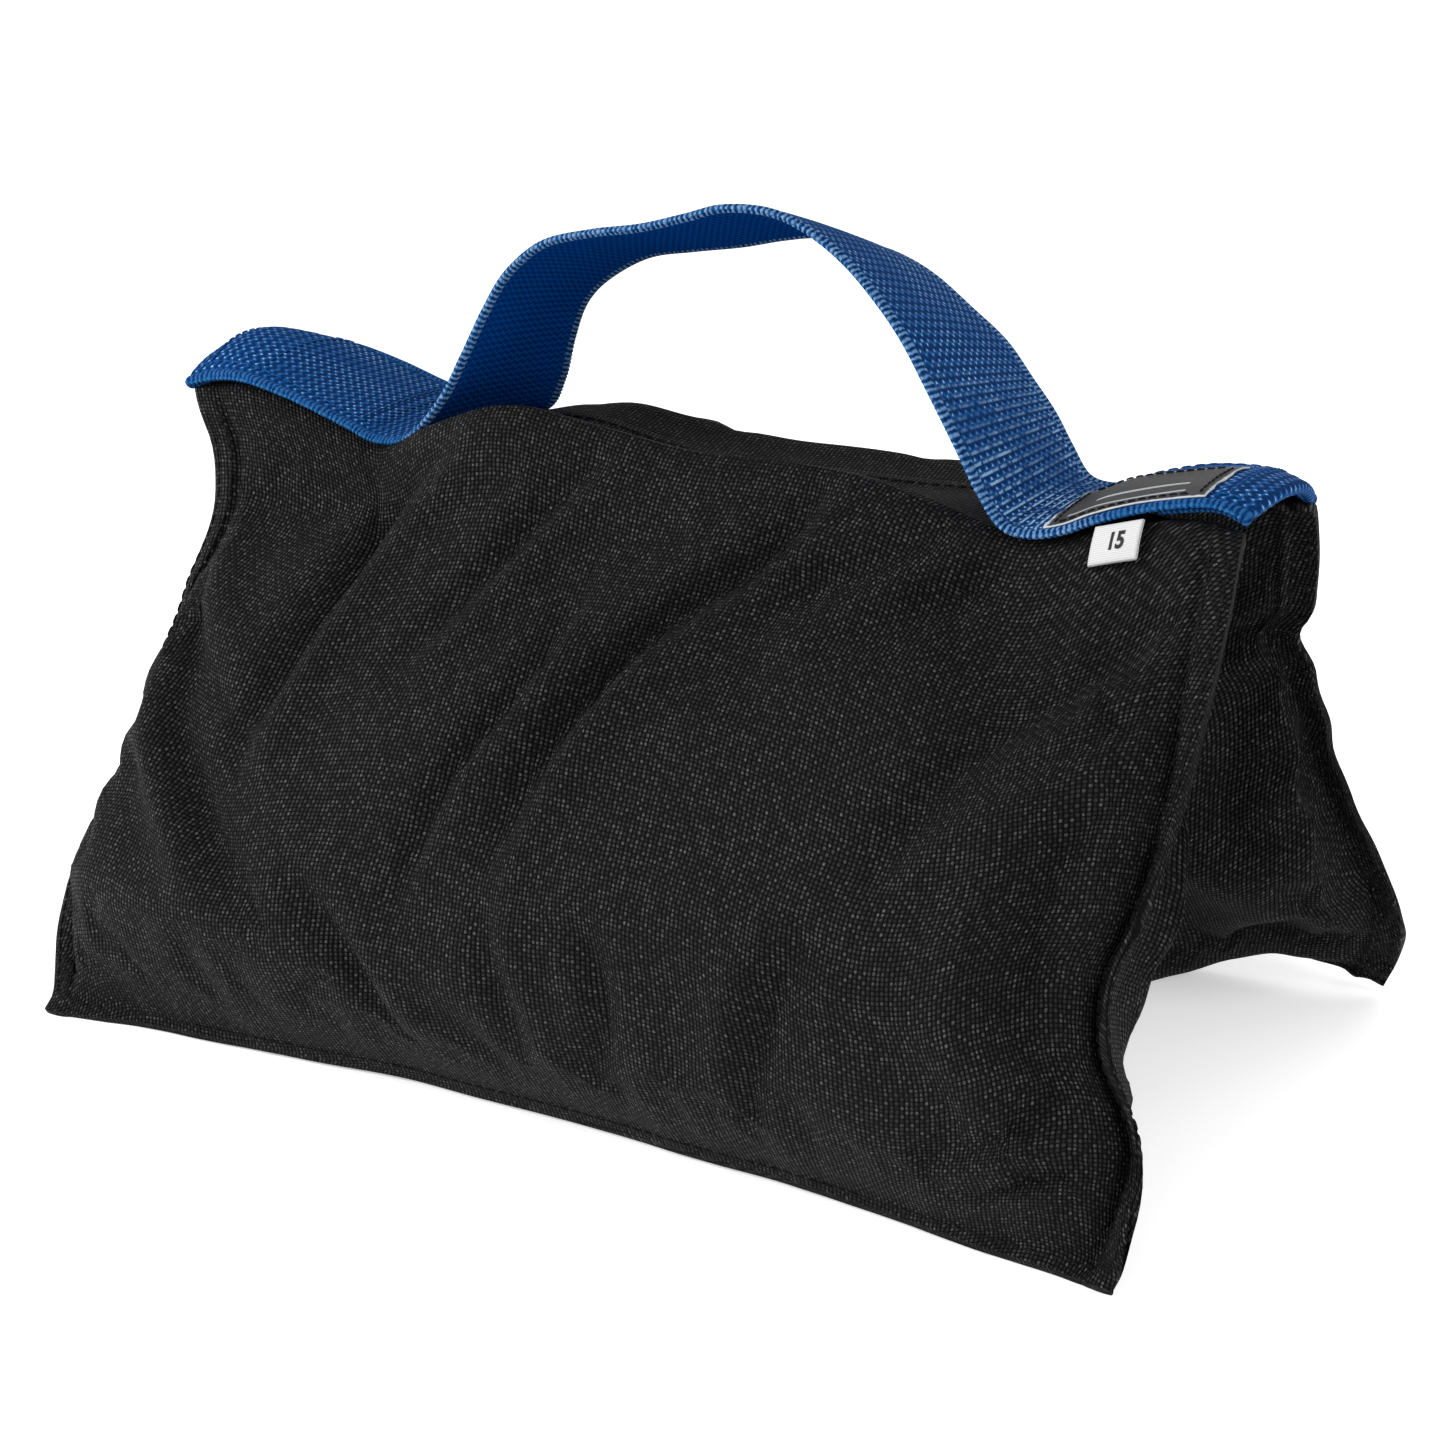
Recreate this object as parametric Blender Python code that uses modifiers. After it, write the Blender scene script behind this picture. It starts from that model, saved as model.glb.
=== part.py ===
"""Saddle sandbag: two sand-filled fabric pouches joined by a webbing ridge with a carry handle.

Metres, +Z up. The ridge runs along X, the front pouch is on the -Y side and the bag stands on z = 0
as an inverted V. The origin is on the floor under the middle of the bag.
"""
import math

import bmesh
import bpy
from mathutils import Vector

# ---- driving dimensions -------------------------------------------------------------------
WEBBING_WIDTH = 0.0508          # 2 in webbing, measured flat
WEBBING_THICK = 0.0016
FABRIC_THICK = 0.0008           # heavy woven nylon with its coating
LINER_THICK = 0.0004
THREAD_RADIUS = 0.00035
LINER_INSET = 0.0024            # liner bag in from the faces of the panels
SAND_INSET = 0.0036
LINER_FLOOR = 0.0014            # lowest height of the liner bag, and of the sand in it
SAND_FLOOR = 0.0026
SAND_NARROW = 0.985             # the sand's length as a share of the liner's
GAP = 0.0003                    # air left between touching pieces
FACET_LIFT = 0.0002             # extra height of a thread over the flat facets of a curved sheet

RIDGE_TOP = 0.1625              # top of the webbing where it lies on the ridge
RIDGE_ARC = math.radians(47.0)  # half of the angle that the webbing wraps round the ridge
RIDGE_RADIUS = WEBBING_WIDTH / 2 / RIDGE_ARC
RIDGE_AXIS_Z = RIDGE_TOP - RIDGE_RADIUS
BRIDGE_ARC = math.radians(52.5)  # the fabric under it reaches down to the pouches
STRAP_END_X = 0.1435            # the webbing ends, left and right of the middle
HEM_LENGTH = 0.022              # webbing folded under at each end

HINGE_Y = 0.0228                # where each pouch hangs from the ridge
HINGE_Z = 0.1480
FOOT_Y = 0.0915                 # bottom corner of a pouch, out from the middle
SLANT = 0.1615                  # hinge to bottom edge, along the pouch
POUCH_TILT = math.radians(24.1)
TOP_HALF = 0.144                # half length of a pouch at the ridge
FOOT_FLARE = 0.005              # the bottom corners reach this much further out
SIDE_PINCH = 0.009              # filling pulls the sides in at mid height
SEAM_U = 0.95                   # side seam as a share of the half length; the rest is flange
BOTTOM_BOW = 0.008              # the bottom seam is drawn in between its corners

# One pouch in cross-section, from the ridge down: (distance along the slant, bulge of the outer
# panel, bulge of the inner panel). The inner panel flattens where it meets the floor.
PROFILE = [
    (0.0015, 0.0011, 0.0011),
    (0.0120, 0.0018, 0.0014),
    (0.0250, 0.0060, 0.0030),
    (0.0420, 0.0160, 0.0090),
    (0.0520, 0.0215, 0.0130),
    (0.0650, 0.0275, 0.0180),
    (0.0850, 0.0335, 0.0240),
    (0.1080, 0.0360, 0.0280),
    (0.1280, 0.0340, 0.0300),
    (0.1430, 0.0270, 0.0310),
    (0.1520, 0.0160, 0.0310),
    (0.1565, 0.0060, 0.0220),
    (0.1590, 0.0011, 0.0080),
]
COLUMNS = [-1.0, -0.95, -0.86, -0.74, -0.58, -0.38, -0.13, 0.13, 0.38, 0.58, 0.74, 0.86, 0.95, 1.0]
FLAT_FACE = FABRIC_THICK + GAP          # a panel's outer face where the two panels meet
CORNER_TACK_R = (0.1465, 0.1515)        # a bar of dense stitching at each bottom corner
CORNER_TACK_U = 0.975
CORNER_TACK_WIDTH = 0.0030
CORNER_TACK_DEPTH = 0.0007

# Middle line of the webbing from its left end, over the handle, to its right end: (x, z).
STRAP_PATH = [
    (-0.1435, 0.1625), (-0.1200, 0.1625), (-0.0960, 0.1622), (-0.0790, 0.1622),
    (-0.0700, 0.1655), (-0.0610, 0.1750), (-0.0480, 0.1885), (-0.0310, 0.1970),
    (-0.0070, 0.2020), (0.0160, 0.2060), (0.0340, 0.2030), (0.0510, 0.1945),
    (0.0660, 0.1820), (0.0780, 0.1695), (0.0870, 0.1638), (0.0970, 0.1622),
    (0.1190, 0.1625), (0.1435, 0.1625),
]
HANDLE_FROM = 4.35              # where the free handle starts and ends, as places in STRAP_PATH
HANDLE_TO = 13.05
HANDLE_GAP = 0.16               # left clear at each end so that the handle can lean
HANDLE_TACK_X = (-0.0850, 0.0960)       # rows of heavy stitching where the handle is held down
HANDLE_TACK_RADIUS = 0.0006
HEM_STITCH_INSET = 0.0050       # in from each end of the webbing
EDGE_STITCH_PLACES = {"left": (0.12, 3.0), "right": (16.88, 15.1)}      # places in STRAP_PATH
STRAP_ROWS = 7                  # faces across the webbing

LABEL_X = (0.0985, 0.1340)
LABEL_ARC = 0.0185              # half width of the label, measured round the ridge
LABEL_THICK = 0.0005
LABEL_STITCH_INSET = 0.0016
TAG_X = (0.1105, 0.1245)
TAG_TOP = (-0.0243, 0.1505)     # y, z of the tag's sewn edge
TAG_LENGTH = 0.0098
TAG_ANGLE = math.radians(29.0)
TAG_THICK = 0.0003
TAG_DEPTH = 0.0011              # over both layers of the folded tag

PARTS = "saddle_sandbag"


# ---- general helpers ----------------------------------------------------------------------
def clear_scene():
    for obj in list(bpy.data.objects):
        bpy.data.objects.remove(obj)


def make_material(name, color, roughness, metallic=0.0):
    mat = bpy.data.materials.new(name)
    mat.use_nodes = True
    shader = mat.node_tree.nodes["Principled BSDF"]
    shader.inputs["Base Color"].default_value = (*color, 1.0)
    shader.inputs["Roughness"].default_value = roughness
    shader.inputs["Metallic"].default_value = metallic
    mat.diffuse_color = (*color, 1.0)
    return mat


def add_object(name, data, mat, group):
    obj = bpy.data.objects.new(name, data)
    data.materials.append(mat)
    group.objects.link(obj)
    return obj


def add_mesh(name, bm, mat, group):
    bmesh.ops.recalc_face_normals(bm, faces=bm.faces)
    mesh = bpy.data.meshes.new(name)
    bm.to_mesh(mesh)
    bm.free()
    mesh.shade_smooth()
    return add_object(name, mesh, mat, group)


def thicken(obj, thickness, offset):
    shell = obj.modifiers.new("thickness", "SOLIDIFY")
    shell.thickness = thickness
    shell.offset = offset


def skin_grid(bm, rows):
    """Faces between neighbouring rows of points. Returns the rows of vertices."""
    verts = [[bm.verts.new(p) for p in row] for row in rows]
    for upper, lower in zip(verts, verts[1:]):
        for i in range(len(upper) - 1):
            bm.faces.new((upper[i], upper[i + 1], lower[i + 1], lower[i]))
    return verts


def add_sheet(name, rows, thickness, facing, mat, group):
    """A sheet through the rows of points, whose stated side looks along facing, thickened behind."""
    bm = bmesh.new()
    skin_grid(bm, rows)
    bm.normal_update()
    total = Vector((0.0, 0.0, 0.0))
    for face in bm.faces:
        total += face.normal * face.calc_area()
    if total.dot(facing) < 0:
        bmesh.ops.reverse_faces(bm, faces=bm.faces)
    mesh = bpy.data.meshes.new(name)
    bm.to_mesh(mesh)
    bm.free()
    mesh.shade_smooth()
    obj = add_object(name, mesh, mat, group)
    thicken(obj, thickness, -1.0)
    return obj


def add_thread(name, points, mat, group, radius=THREAD_RADIUS, closed=False):
    curve = bpy.data.curves.new(name, "CURVE")
    curve.dimensions = "3D"
    curve.bevel_depth = radius
    curve.bevel_resolution = 1
    curve.use_fill_caps = True
    spline = curve.splines.new("POLY")
    spline.points.add(len(points) - 1)
    for target, point in zip(spline.points, points):
        target.co = (*point, 1.0)
    spline.use_cyclic_u = closed
    return add_object(name, curve, mat, group)


# ---- pouches ------------------------------------------------------------------------------
def half_length(r):
    """Half length of a pouch at r along its slant."""
    share = r / SLANT
    return TOP_HALF + FOOT_FLARE * share - SIDE_PINCH * math.sin(math.pi * share)


def fill_share(u):
    """1 in the middle of a pouch, 0 at its side seams."""
    return math.sqrt(max(0.0, 1.0 - (abs(u) / SEAM_U) ** 4))


def pouch_point(side, u, r, bulge, lowest=0.0):
    """A point at u across and r down a pouch, bulge out from its middle plane. side is -1 or 1."""
    bow = BOTTOM_BOW * (1.0 - u * u) * (r / SLANT) ** 3
    y = HINGE_Y + r * math.sin(POUCH_TILT) + bulge * math.cos(POUCH_TILT) - bow
    z = HINGE_Z - r * math.cos(POUCH_TILT) + bulge * math.sin(POUCH_TILT)
    return Vector((u * half_length(r), side * y, max(z, lowest)))


def panel_bulge(u, row, outer):
    full = row[1] if outer else row[2]
    return max(full * fill_share(u), FLAT_FACE)


def panel_row(side, row, outer):
    sign = 1.0 if outer else -1.0
    return [pouch_point(side, u, row[0], sign * panel_bulge(u, row, outer)) for u in COLUMNS]


def bottom_edge_row(side, outer):
    """The flange along the bottom seam: the outer panel lies on the inner one."""
    height = 2 * (FABRIC_THICK + GAP) if outer else 0.0
    points = []
    for u in COLUMNS:
        y = FOOT_Y - BOTTOM_BOW * (1.0 - u * u)
        points.append(Vector((u * half_length(SLANT), side * y, height)))
    return points


def add_panel(name, side, outer, mat, group):
    rows = [panel_row(side, row, outer) for row in PROFILE]
    rows.append(bottom_edge_row(side, outer))
    facing = Vector((0.0, side if outer else -side, 0.0))
    return add_sheet(name, rows, FABRIC_THICK, facing, mat, group)


def inner_ring(side, row, inset, lowest, narrow=1.0):
    """A closed ring inside the pouch, inset from both panels and narrowed along the ridge."""
    span = [u * narrow for u in COLUMNS if abs(u) < 0.9]
    front = [pouch_point(side, u, row[0], panel_bulge(u, row, True) - inset) for u in span]
    back = [pouch_point(side, u, row[0], inset - panel_bulge(u, row, False), lowest) for u in span]
    return front + back[::-1]


def add_liner(name, side, mat, group):
    """The bag inside a pouch, open at its mouth below the ridge."""
    bm = bmesh.new()
    rings = [inner_ring(side, row, LINER_INSET, LINER_FLOOR) for row in PROFILE[3:11]]
    verts = [[bm.verts.new(p) for p in ring] for ring in rings]
    close_sides(bm, verts)
    close_end(bm, verts[-1])
    obj = add_mesh(name, bm, mat, group)
    thicken(obj, LINER_THICK, -1.0)
    return obj


def add_sand(name, side, mat, group):
    bm = bmesh.new()
    rings = [inner_ring(side, row, SAND_INSET, SAND_FLOOR, SAND_NARROW) for row in PROFILE[4:10]]
    verts = [[bm.verts.new(p) for p in ring] for ring in rings]
    close_sides(bm, verts)
    close_end(bm, verts[0])
    close_end(bm, verts[-1])
    return add_mesh(name, bm, mat, group)


def close_sides(bm, rings):
    for upper, lower in zip(rings, rings[1:]):
        count = len(upper)
        for i in range(count):
            j = (i + 1) % count
            bm.faces.new((upper[i], upper[j], lower[j], lower[i]))


def close_end(bm, ring):
    """Quads across a ring whose second half runs back along the first."""
    count = len(ring)
    for i in range(count // 2 - 1):
        bm.faces.new((ring[i], ring[i + 1], ring[count - 2 - i], ring[count - 1 - i]))


def add_side_stitch(name, side, u, mat, group):
    lift = FLAT_FACE + GAP + THREAD_RADIUS
    points = [pouch_point(side, u, row[0], lift) for row in PROFILE[1:10]]
    return add_thread(name, points, mat, group)


def add_bottom_stitch(name, side, mat, group):
    upper = panel_row(side, PROFILE[-1], True)
    lower = bottom_edge_row(side, True)
    lift = Vector((0.0, side * 0.4, 0.9)) * (GAP + 2 * THREAD_RADIUS)
    points = [(a + b) / 2 + lift for a, b in zip(upper, lower)]
    return add_thread(name, points[1:-1], mat, group)


def add_corner_tack(name, side, end, mat, group):
    """A short bar of dense stitching on the flange at a bottom corner."""
    lift = FLAT_FACE + GAP + CORNER_TACK_DEPTH / 2
    ends = [pouch_point(side, end * CORNER_TACK_U, r, lift) for r in CORNER_TACK_R]
    size = Vector((CORNER_TACK_WIDTH, CORNER_TACK_DEPTH, (ends[0] - ends[1]).length))
    bm = bmesh.new()
    bmesh.ops.create_cube(bm, size=1.0)
    bmesh.ops.scale(bm, vec=size, verts=bm.verts)
    obj = add_mesh(name, bm, mat, group)
    obj.rotation_euler = (side * POUCH_TILT, 0.0, 0.0)
    obj.location = (ends[0] + ends[1]) / 2
    return obj


def build_pouch(label, side, mats, group):
    add_panel(label + "_outer_panel", side, True, mats["fabric"], group)
    add_panel(label + "_inner_panel", side, False, mats["fabric_inner"], group)
    add_liner(label + "_liner_bag", side, mats["liner"], group)
    add_sand(label + "_sand_fill", side, mats["sand"], group)
    for end, end_name in ((-1, "left"), (1, "right")):
        for row_name, u in (("edge", 0.985), ("seam", 0.957)):
            name = f"{label}_{row_name}_stitch_{end_name}"
            add_side_stitch(name, side, end * u, mats["thread"], group)
        add_corner_tack(f"{label}_corner_tack_{end_name}", side, end, mats["thread"], group)
    add_bottom_stitch(label + "_bottom_stitch", side, mats["thread"], group)


# ---- ridge and handle -----------------------------------------------------------------------
def path_point(place):
    """Point on a smooth curve through STRAP_PATH; place 2.5 is halfway from point 2 to point 3."""
    last = len(STRAP_PATH) - 1
    index = min(int(place), last - 1)
    t = place - index
    p = [Vector(STRAP_PATH[max(0, min(last, index + k))]) for k in (-1, 0, 1, 2)]
    bend = (p[1] * 2 + (p[2] - p[0]) * t + (p[0] * 2 - p[1] * 5 + p[2] * 4 - p[3]) * t * t
            + (p[1] * 3 - p[0] - p[2] * 3 + p[3]) * t ** 3)
    return bend / 2


def path_normal(place):
    step = 0.02
    along = path_point(place + step) - path_point(place - step)
    return Vector((-along.y, along.x)).normalized()


def wrap_angle(place):
    """Half of the webbing's wrap angle: full on the ridge, almost flat at the handle's crown."""
    lead = min((place - 3.0) / 2.4, (14.6 - place) / 2.4)
    ease = min(1.0, max(0.0, lead))
    ease = ease * ease * (3.0 - 2.0 * ease)
    return RIDGE_ARC * (1.0 - 0.86 * ease)


def strap_row(place, depth=0.0):
    """Points across the webbing at one place, depth below its top face."""
    centre = path_point(place)
    normal = path_normal(place)
    arc = wrap_angle(place)
    radius = WEBBING_WIDTH / 2 / arc
    row = []
    for k in range(STRAP_ROWS + 1):
        angle = arc * (2.0 * k / STRAP_ROWS - 1.0)
        drop = radius - (radius - depth) * math.cos(angle)
        y = (radius - depth) * math.sin(angle)
        row.append(Vector((centre.x - normal.x * drop, y, centre.y - normal.y * drop)))
    return row


def spread(first, last, count):
    return [first + (last - first) * i / count for i in range(count + 1)]


def add_strap_piece(name, first, last, count, mat, group):
    rows = [strap_row(place) for place in spread(first, last, count)]
    return add_sheet(name, rows, WEBBING_THICK, Vector((0.0, 0.0, 1.0)), mat, group)


def ridge_arc_point(x, angle, radius):
    return Vector((x, radius * math.sin(angle), RIDGE_AXIS_Z + radius * math.cos(angle)))


def add_ridge_sheet(name, x_from, x_to, x_count, arc, radius, thickness, mat, group):
    rows = []
    for x in spread(x_from, x_to, x_count):
        rows.append([ridge_arc_point(x, a, radius) for a in spread(-arc, arc, STRAP_ROWS)])
    return add_sheet(name, rows, thickness, Vector((0.0, 0.0, 1.0)), mat, group)


def add_hems(mats, group):
    radius = RIDGE_RADIUS - WEBBING_THICK - GAP
    for end, end_name in ((-1, "left"), (1, "right")):
        x_out = end * STRAP_END_X
        x_in = end * (STRAP_END_X - HEM_LENGTH)
        add_ridge_sheet(f"strap_hem_{end_name}", x_in, x_out, 2, RIDGE_ARC, radius,
                        WEBBING_THICK, mats["webbing_dark"], group)


def add_bridge(mats, group):
    radius = RIDGE_RADIUS - 2 * (WEBBING_THICK + GAP)
    add_ridge_sheet("saddle_bridge", -TOP_HALF + 0.001, TOP_HALF - 0.001, 8, BRIDGE_ARC,
                    radius, FABRIC_THICK, mats["fabric"], group)


def over_ridge(x, arc, radius):
    """Points over the ridge at x, from arc before its top to arc beyond it."""
    return [ridge_arc_point(x, angle, radius) for angle in spread(-arc, arc, 10)]


def add_ridge_stitches(mats, group):
    """Threads along both edges of the two sewn runs, across the folded ends and at the handle."""
    mat = mats["thread_blue"]
    radius = RIDGE_RADIUS + GAP + THREAD_RADIUS + FACET_LIFT
    for end_name, (outer, inner) in EDGE_STITCH_PLACES.items():
        for side, side_name in ((-1, "front"), (1, "rear")):
            angle = side * RIDGE_ARC * 0.90
            places = spread(outer, inner, 5)
            points = [ridge_arc_point(path_point(place).x, angle, radius) for place in places]
            add_thread(f"ridge_stitch_{side_name}_{end_name}", points, mat, group)
    for end, end_name in ((-1, "left"), (1, "right")):
        points = over_ridge(end * (STRAP_END_X - HEM_STITCH_INSET), RIDGE_ARC * 0.80, radius)
        add_thread(f"hem_stitch_{end_name}", points, mat, group)
    for x, end_name in zip(HANDLE_TACK_X, ("left", "right")):
        points = over_ridge(x, RIDGE_ARC * 0.76, radius + HANDLE_TACK_RADIUS - THREAD_RADIUS)
        add_thread(f"handle_tack_{end_name}", points, mat, group, HANDLE_TACK_RADIUS)


def add_label(mats, group):
    arc = LABEL_ARC / RIDGE_RADIUS
    radius = RIDGE_RADIUS + GAP + LABEL_THICK + FACET_LIFT
    add_ridge_sheet("label_patch", *LABEL_X, 5, arc, radius, LABEL_THICK, mats["label"], group)
    ring_radius = radius + GAP + THREAD_RADIUS
    low, high = LABEL_X[0] + LABEL_STITCH_INSET, LABEL_X[1] - LABEL_STITCH_INSET
    turn = arc - LABEL_STITCH_INSET / RIDGE_RADIUS
    across = spread(-turn, turn, STRAP_ROWS)
    points = [ridge_arc_point(low, a, ring_radius) for a in across]
    points += [ridge_arc_point(high, a, ring_radius) for a in across[::-1]]
    add_thread("label_stitching", points, mats["thread"], group, closed=True)


# ---- size tag -------------------------------------------------------------------------------
def add_size_tag(mats, group):
    """A strip folded in two: down the front, round the fold and up the back."""
    fold = (TAG_LENGTH + TAG_DEPTH / 2, TAG_DEPTH / 2)
    section = [(0.0, 0.0), (TAG_LENGTH, 0.0), fold, (TAG_LENGTH, TAG_DEPTH), (0.0, TAG_DEPTH)]
    down = Vector((0.0, -math.sin(TAG_ANGLE), -math.cos(TAG_ANGLE)))
    inward = Vector((0.0, math.cos(TAG_ANGLE), -math.sin(TAG_ANGLE)))
    start = Vector((0.0, *TAG_TOP))
    rows = []
    for along, depth in section:
        middle = start + down * along + inward * depth
        rows.append([middle + Vector((x, 0.0, 0.0)) for x in spread(*TAG_X, 3)])
    return add_sheet("size_tag", rows, TAG_THICK, Vector((0.0, 0.0, -1.0)), mats["tag"], group)


# ---- build ------------------------------------------------------------------------------------
def main():
    clear_scene()
    group = bpy.data.collections.new(PARTS)
    bpy.context.scene.collection.children.link(group)
    mats = {
        "fabric": make_material("black_nylon", (0.014, 0.014, 0.015), 0.75),
        "fabric_inner": make_material("black_nylon_inner", (0.010, 0.010, 0.011), 0.78),
        "liner": make_material("clear_liner", (0.60, 0.62, 0.62), 0.35),
        "sand": make_material("dry_sand", (0.50, 0.40, 0.27), 0.95),
        "thread": make_material("black_thread", (0.020, 0.020, 0.022), 0.60),
        "thread_blue": make_material("blue_thread", (0.010, 0.060, 0.210), 0.60),
        "webbing": make_material("blue_webbing", (0.008, 0.068, 0.225), 0.60),
        "webbing_dark": make_material("blue_webbing_under", (0.004, 0.030, 0.115), 0.65),
        "label": make_material("label_weave", (0.060, 0.060, 0.065), 0.45),
        "tag": make_material("tag_satin", (0.80, 0.80, 0.80), 0.50),
    }
    add_bridge(mats, group)
    add_strap_piece("strap_left_run", 0.0, HANDLE_FROM - HANDLE_GAP, 9, mats["webbing"], group)
    add_strap_piece("strap_handle", HANDLE_FROM + HANDLE_GAP, HANDLE_TO - HANDLE_GAP, 18,
                    mats["webbing"], group)
    add_strap_piece("strap_right_run", HANDLE_TO + HANDLE_GAP, 17.0, 9, mats["webbing"], group)
    add_hems(mats, group)
    add_ridge_stitches(mats, group)
    add_label(mats, group)
    for label, side in (("front", -1), ("rear", 1)):
        build_pouch(label, side, mats, group)
    add_size_tag(mats, group)


main()
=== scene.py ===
"""Looks of the saddle sandbag: two filled nylon pouches, a blue webbing strap, a label and a size tag."""
import math
import bmesh
import bpy
import numpy as np
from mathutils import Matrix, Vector


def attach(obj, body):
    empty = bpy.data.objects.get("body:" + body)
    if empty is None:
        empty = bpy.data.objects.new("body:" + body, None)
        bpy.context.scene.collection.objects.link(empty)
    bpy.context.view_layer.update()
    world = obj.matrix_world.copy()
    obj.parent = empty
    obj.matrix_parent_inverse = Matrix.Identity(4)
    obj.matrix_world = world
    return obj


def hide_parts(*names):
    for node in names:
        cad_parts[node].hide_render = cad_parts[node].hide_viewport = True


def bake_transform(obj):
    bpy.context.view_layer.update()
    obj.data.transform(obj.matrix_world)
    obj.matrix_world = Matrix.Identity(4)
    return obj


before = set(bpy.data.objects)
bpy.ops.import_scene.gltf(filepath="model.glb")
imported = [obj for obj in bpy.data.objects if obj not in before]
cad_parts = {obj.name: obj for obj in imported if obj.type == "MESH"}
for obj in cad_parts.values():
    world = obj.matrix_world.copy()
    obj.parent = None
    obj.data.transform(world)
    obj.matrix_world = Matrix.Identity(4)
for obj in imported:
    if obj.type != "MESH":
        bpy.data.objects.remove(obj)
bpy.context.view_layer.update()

MM = 0.001

# ---- frame values, as in the CAD ----
HINGE_Y, HINGE_Z = 22.8, 148.0
FOOT_Y = 91.5
TILT = math.radians(24.1)
SLANT = 161.5
SIN_T, COS_T = math.sin(TILT), math.cos(TILT)
WIDTH = 50.8
STRAP_THICK = 1.6
RIB_PITCH, UNDER_PITCH, RIB_COLUMN = 2.4, 1.8, 1.45     # spacing of the webbing's ribs, mm
HIGHLIGHT_LIMB = (0.245, 0.275, 0.300, 0.315)    # along the webbing: where painted highlight lines across the ribs of the handle's right limb fade in, and end
HANDLE_RUN = (0.070, 0.085, 0.300, 0.315)     # along the webbing: start and end of the handle
CLOTH = 1.7                     # both layers of nylon where they lie on each other, mm
SEAM_U = 0.95
FLANGE = 7.0                    # width of the seam flange
SEAM_SHIFT = 6.0                # the side seams lie this much towards the outer face
LAP, LAP_DROP = 7.0, 1.6        # the front flap laps over the rear one at the ridge
HALF_LENGTH = 143.0             # half of a pouch's length, where insets from its edge are measured
SPINE_STEP = 0.62               # between the strap's rows, mm
FOLD_RADIUS = 0.92              # of the strap's middle layer where its ends fold under, mm
LABEL_SIZE = (0.037, 0.02756)   # of the woven label, m
LABEL_PITCH = 0.00042           # of the woven label's threads, m
SIDE = {"front": -1.0, "rear": 1.0}     # which way along y a pouch hangs


# ---- small maths helpers ----
def curve(*points):
    """A smooth function through (x, value) points, flat beyond its ends."""
    xs, ys = np.array(points, float).T
    slopes = np.gradient(ys, xs)

    def at(x):
        x = np.clip(np.asarray(x, float), xs[0], xs[-1])
        i = np.clip(np.searchsorted(xs, x) - 1, 0, len(xs) - 2)
        h = xs[i + 1] - xs[i]
        t = (x - xs[i]) / h
        t2, t3 = t * t, t * t * t
        return (ys[i] * (2 * t3 - 3 * t2 + 1) + ys[i + 1] * (3 * t2 - 2 * t3)
                + h * (slopes[i] * (t3 - 2 * t2 + t) + slopes[i + 1] * (t3 - t2)))
    return at


def smooth(x, low, high):
    t = np.clip((np.asarray(x, float) - low) / (high - low), 0.0, 1.0)
    return t * t * (3.0 - 2.0 * t)


def ripple(a, b, seed):
    """Smooth irregular waves of about unit size and unit wavelength."""
    rng = np.random.RandomState(seed)
    total = 0.0
    for _ in range(7):
        turn, size = rng.uniform(0, 2 * math.pi), rng.uniform(0.6, 1.5)
        phase = rng.uniform(0, 2 * math.pi)
        total = total + np.sin(2 * math.pi * size * (a * math.cos(turn) + b * math.sin(turn)) + phase)
    return total / 2.6


def catmull(count, params):
    """Weights of count control points for each parameter from 0 to count - 1."""
    weights = np.zeros((len(params), count))
    for row, p in enumerate(params):
        i = min(int(p), count - 2)
        t = p - i
        basis = (-0.5 * t + t * t - 0.5 * t ** 3, 1 - 2.5 * t * t + 1.5 * t ** 3,
                 0.5 * t + 2 * t * t - 1.5 * t ** 3, -0.5 * t * t + 0.5 * t ** 3)
        for k, value in zip((i - 1, i, i + 1, i + 2), basis):
            weights[row, min(max(k, 0), count - 1)] += value
    return weights


def link(name, mesh, material):
    obj = bpy.data.objects.new(name, mesh)
    mesh.materials.append(material)
    bpy.context.scene.collection.objects.link(obj)
    return obj


def mesh_from(name, verts, faces, uvs=None):
    """A smooth mesh; uvs holds one (u, v) per vertex, in metres along the cloth."""
    mesh = bpy.data.meshes.new(name)
    mesh.from_pydata([tuple(v) for v in verts], [], [tuple(int(i) for i in f) for f in faces])
    if uvs is not None:
        layer = mesh.uv_layers.new(name="flat")
        loops = np.zeros(len(mesh.loops), np.int32)
        mesh.loops.foreach_get("vertex_index", loops)
        layer.data.foreach_set("uv", np.asarray(uvs, np.float32)[loops].ravel())
    mesh.shade_smooth()
    return mesh


def grid_faces(rows, cols, start=0, flip=False):
    i, j = np.meshgrid(np.arange(rows - 1), np.arange(cols - 1), indexing="ij")
    a = start + i * cols + j
    quads = np.stack([a, a + 1, a + cols + 1, a + cols], -1).reshape(-1, 4)
    return quads[:, ::-1] if flip else quads


def closed_faces(rows, cols):
    """Two grids of the same size, one after the other, joined along their borders."""
    n = rows * cols
    ring = [(0, j) for j in range(cols)] + [(i, cols - 1) for i in range(1, rows)]
    ring += [(rows - 1, j) for j in range(cols - 2, -1, -1)] + [(i, 0) for i in range(rows - 2, 0, -1)]
    idx = [i * cols + j for i, j in ring]
    rim = [(b, a, a + n, b + n) for a, b in zip(idx, idx[1:] + idx[:1])]
    return np.concatenate([grid_faces(rows, cols), grid_faces(rows, cols, n, True), np.array(rim)])


def tube_faces(base, rings, sides):
    """Faces of a tube with closed ends, for rings of points that follow one another."""
    faces = [(base + i * sides + k, base + i * sides + (k + 1) % sides,
              base + (i + 1) * sides + (k + 1) % sides, base + (i + 1) * sides + k)
             for i in range(rings - 1) for k in range(sides)]
    last = base + (rings - 1) * sides
    return faces + [tuple(range(base + sides - 1, base - 1, -1)), tuple(range(last, last + sides))]


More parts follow.
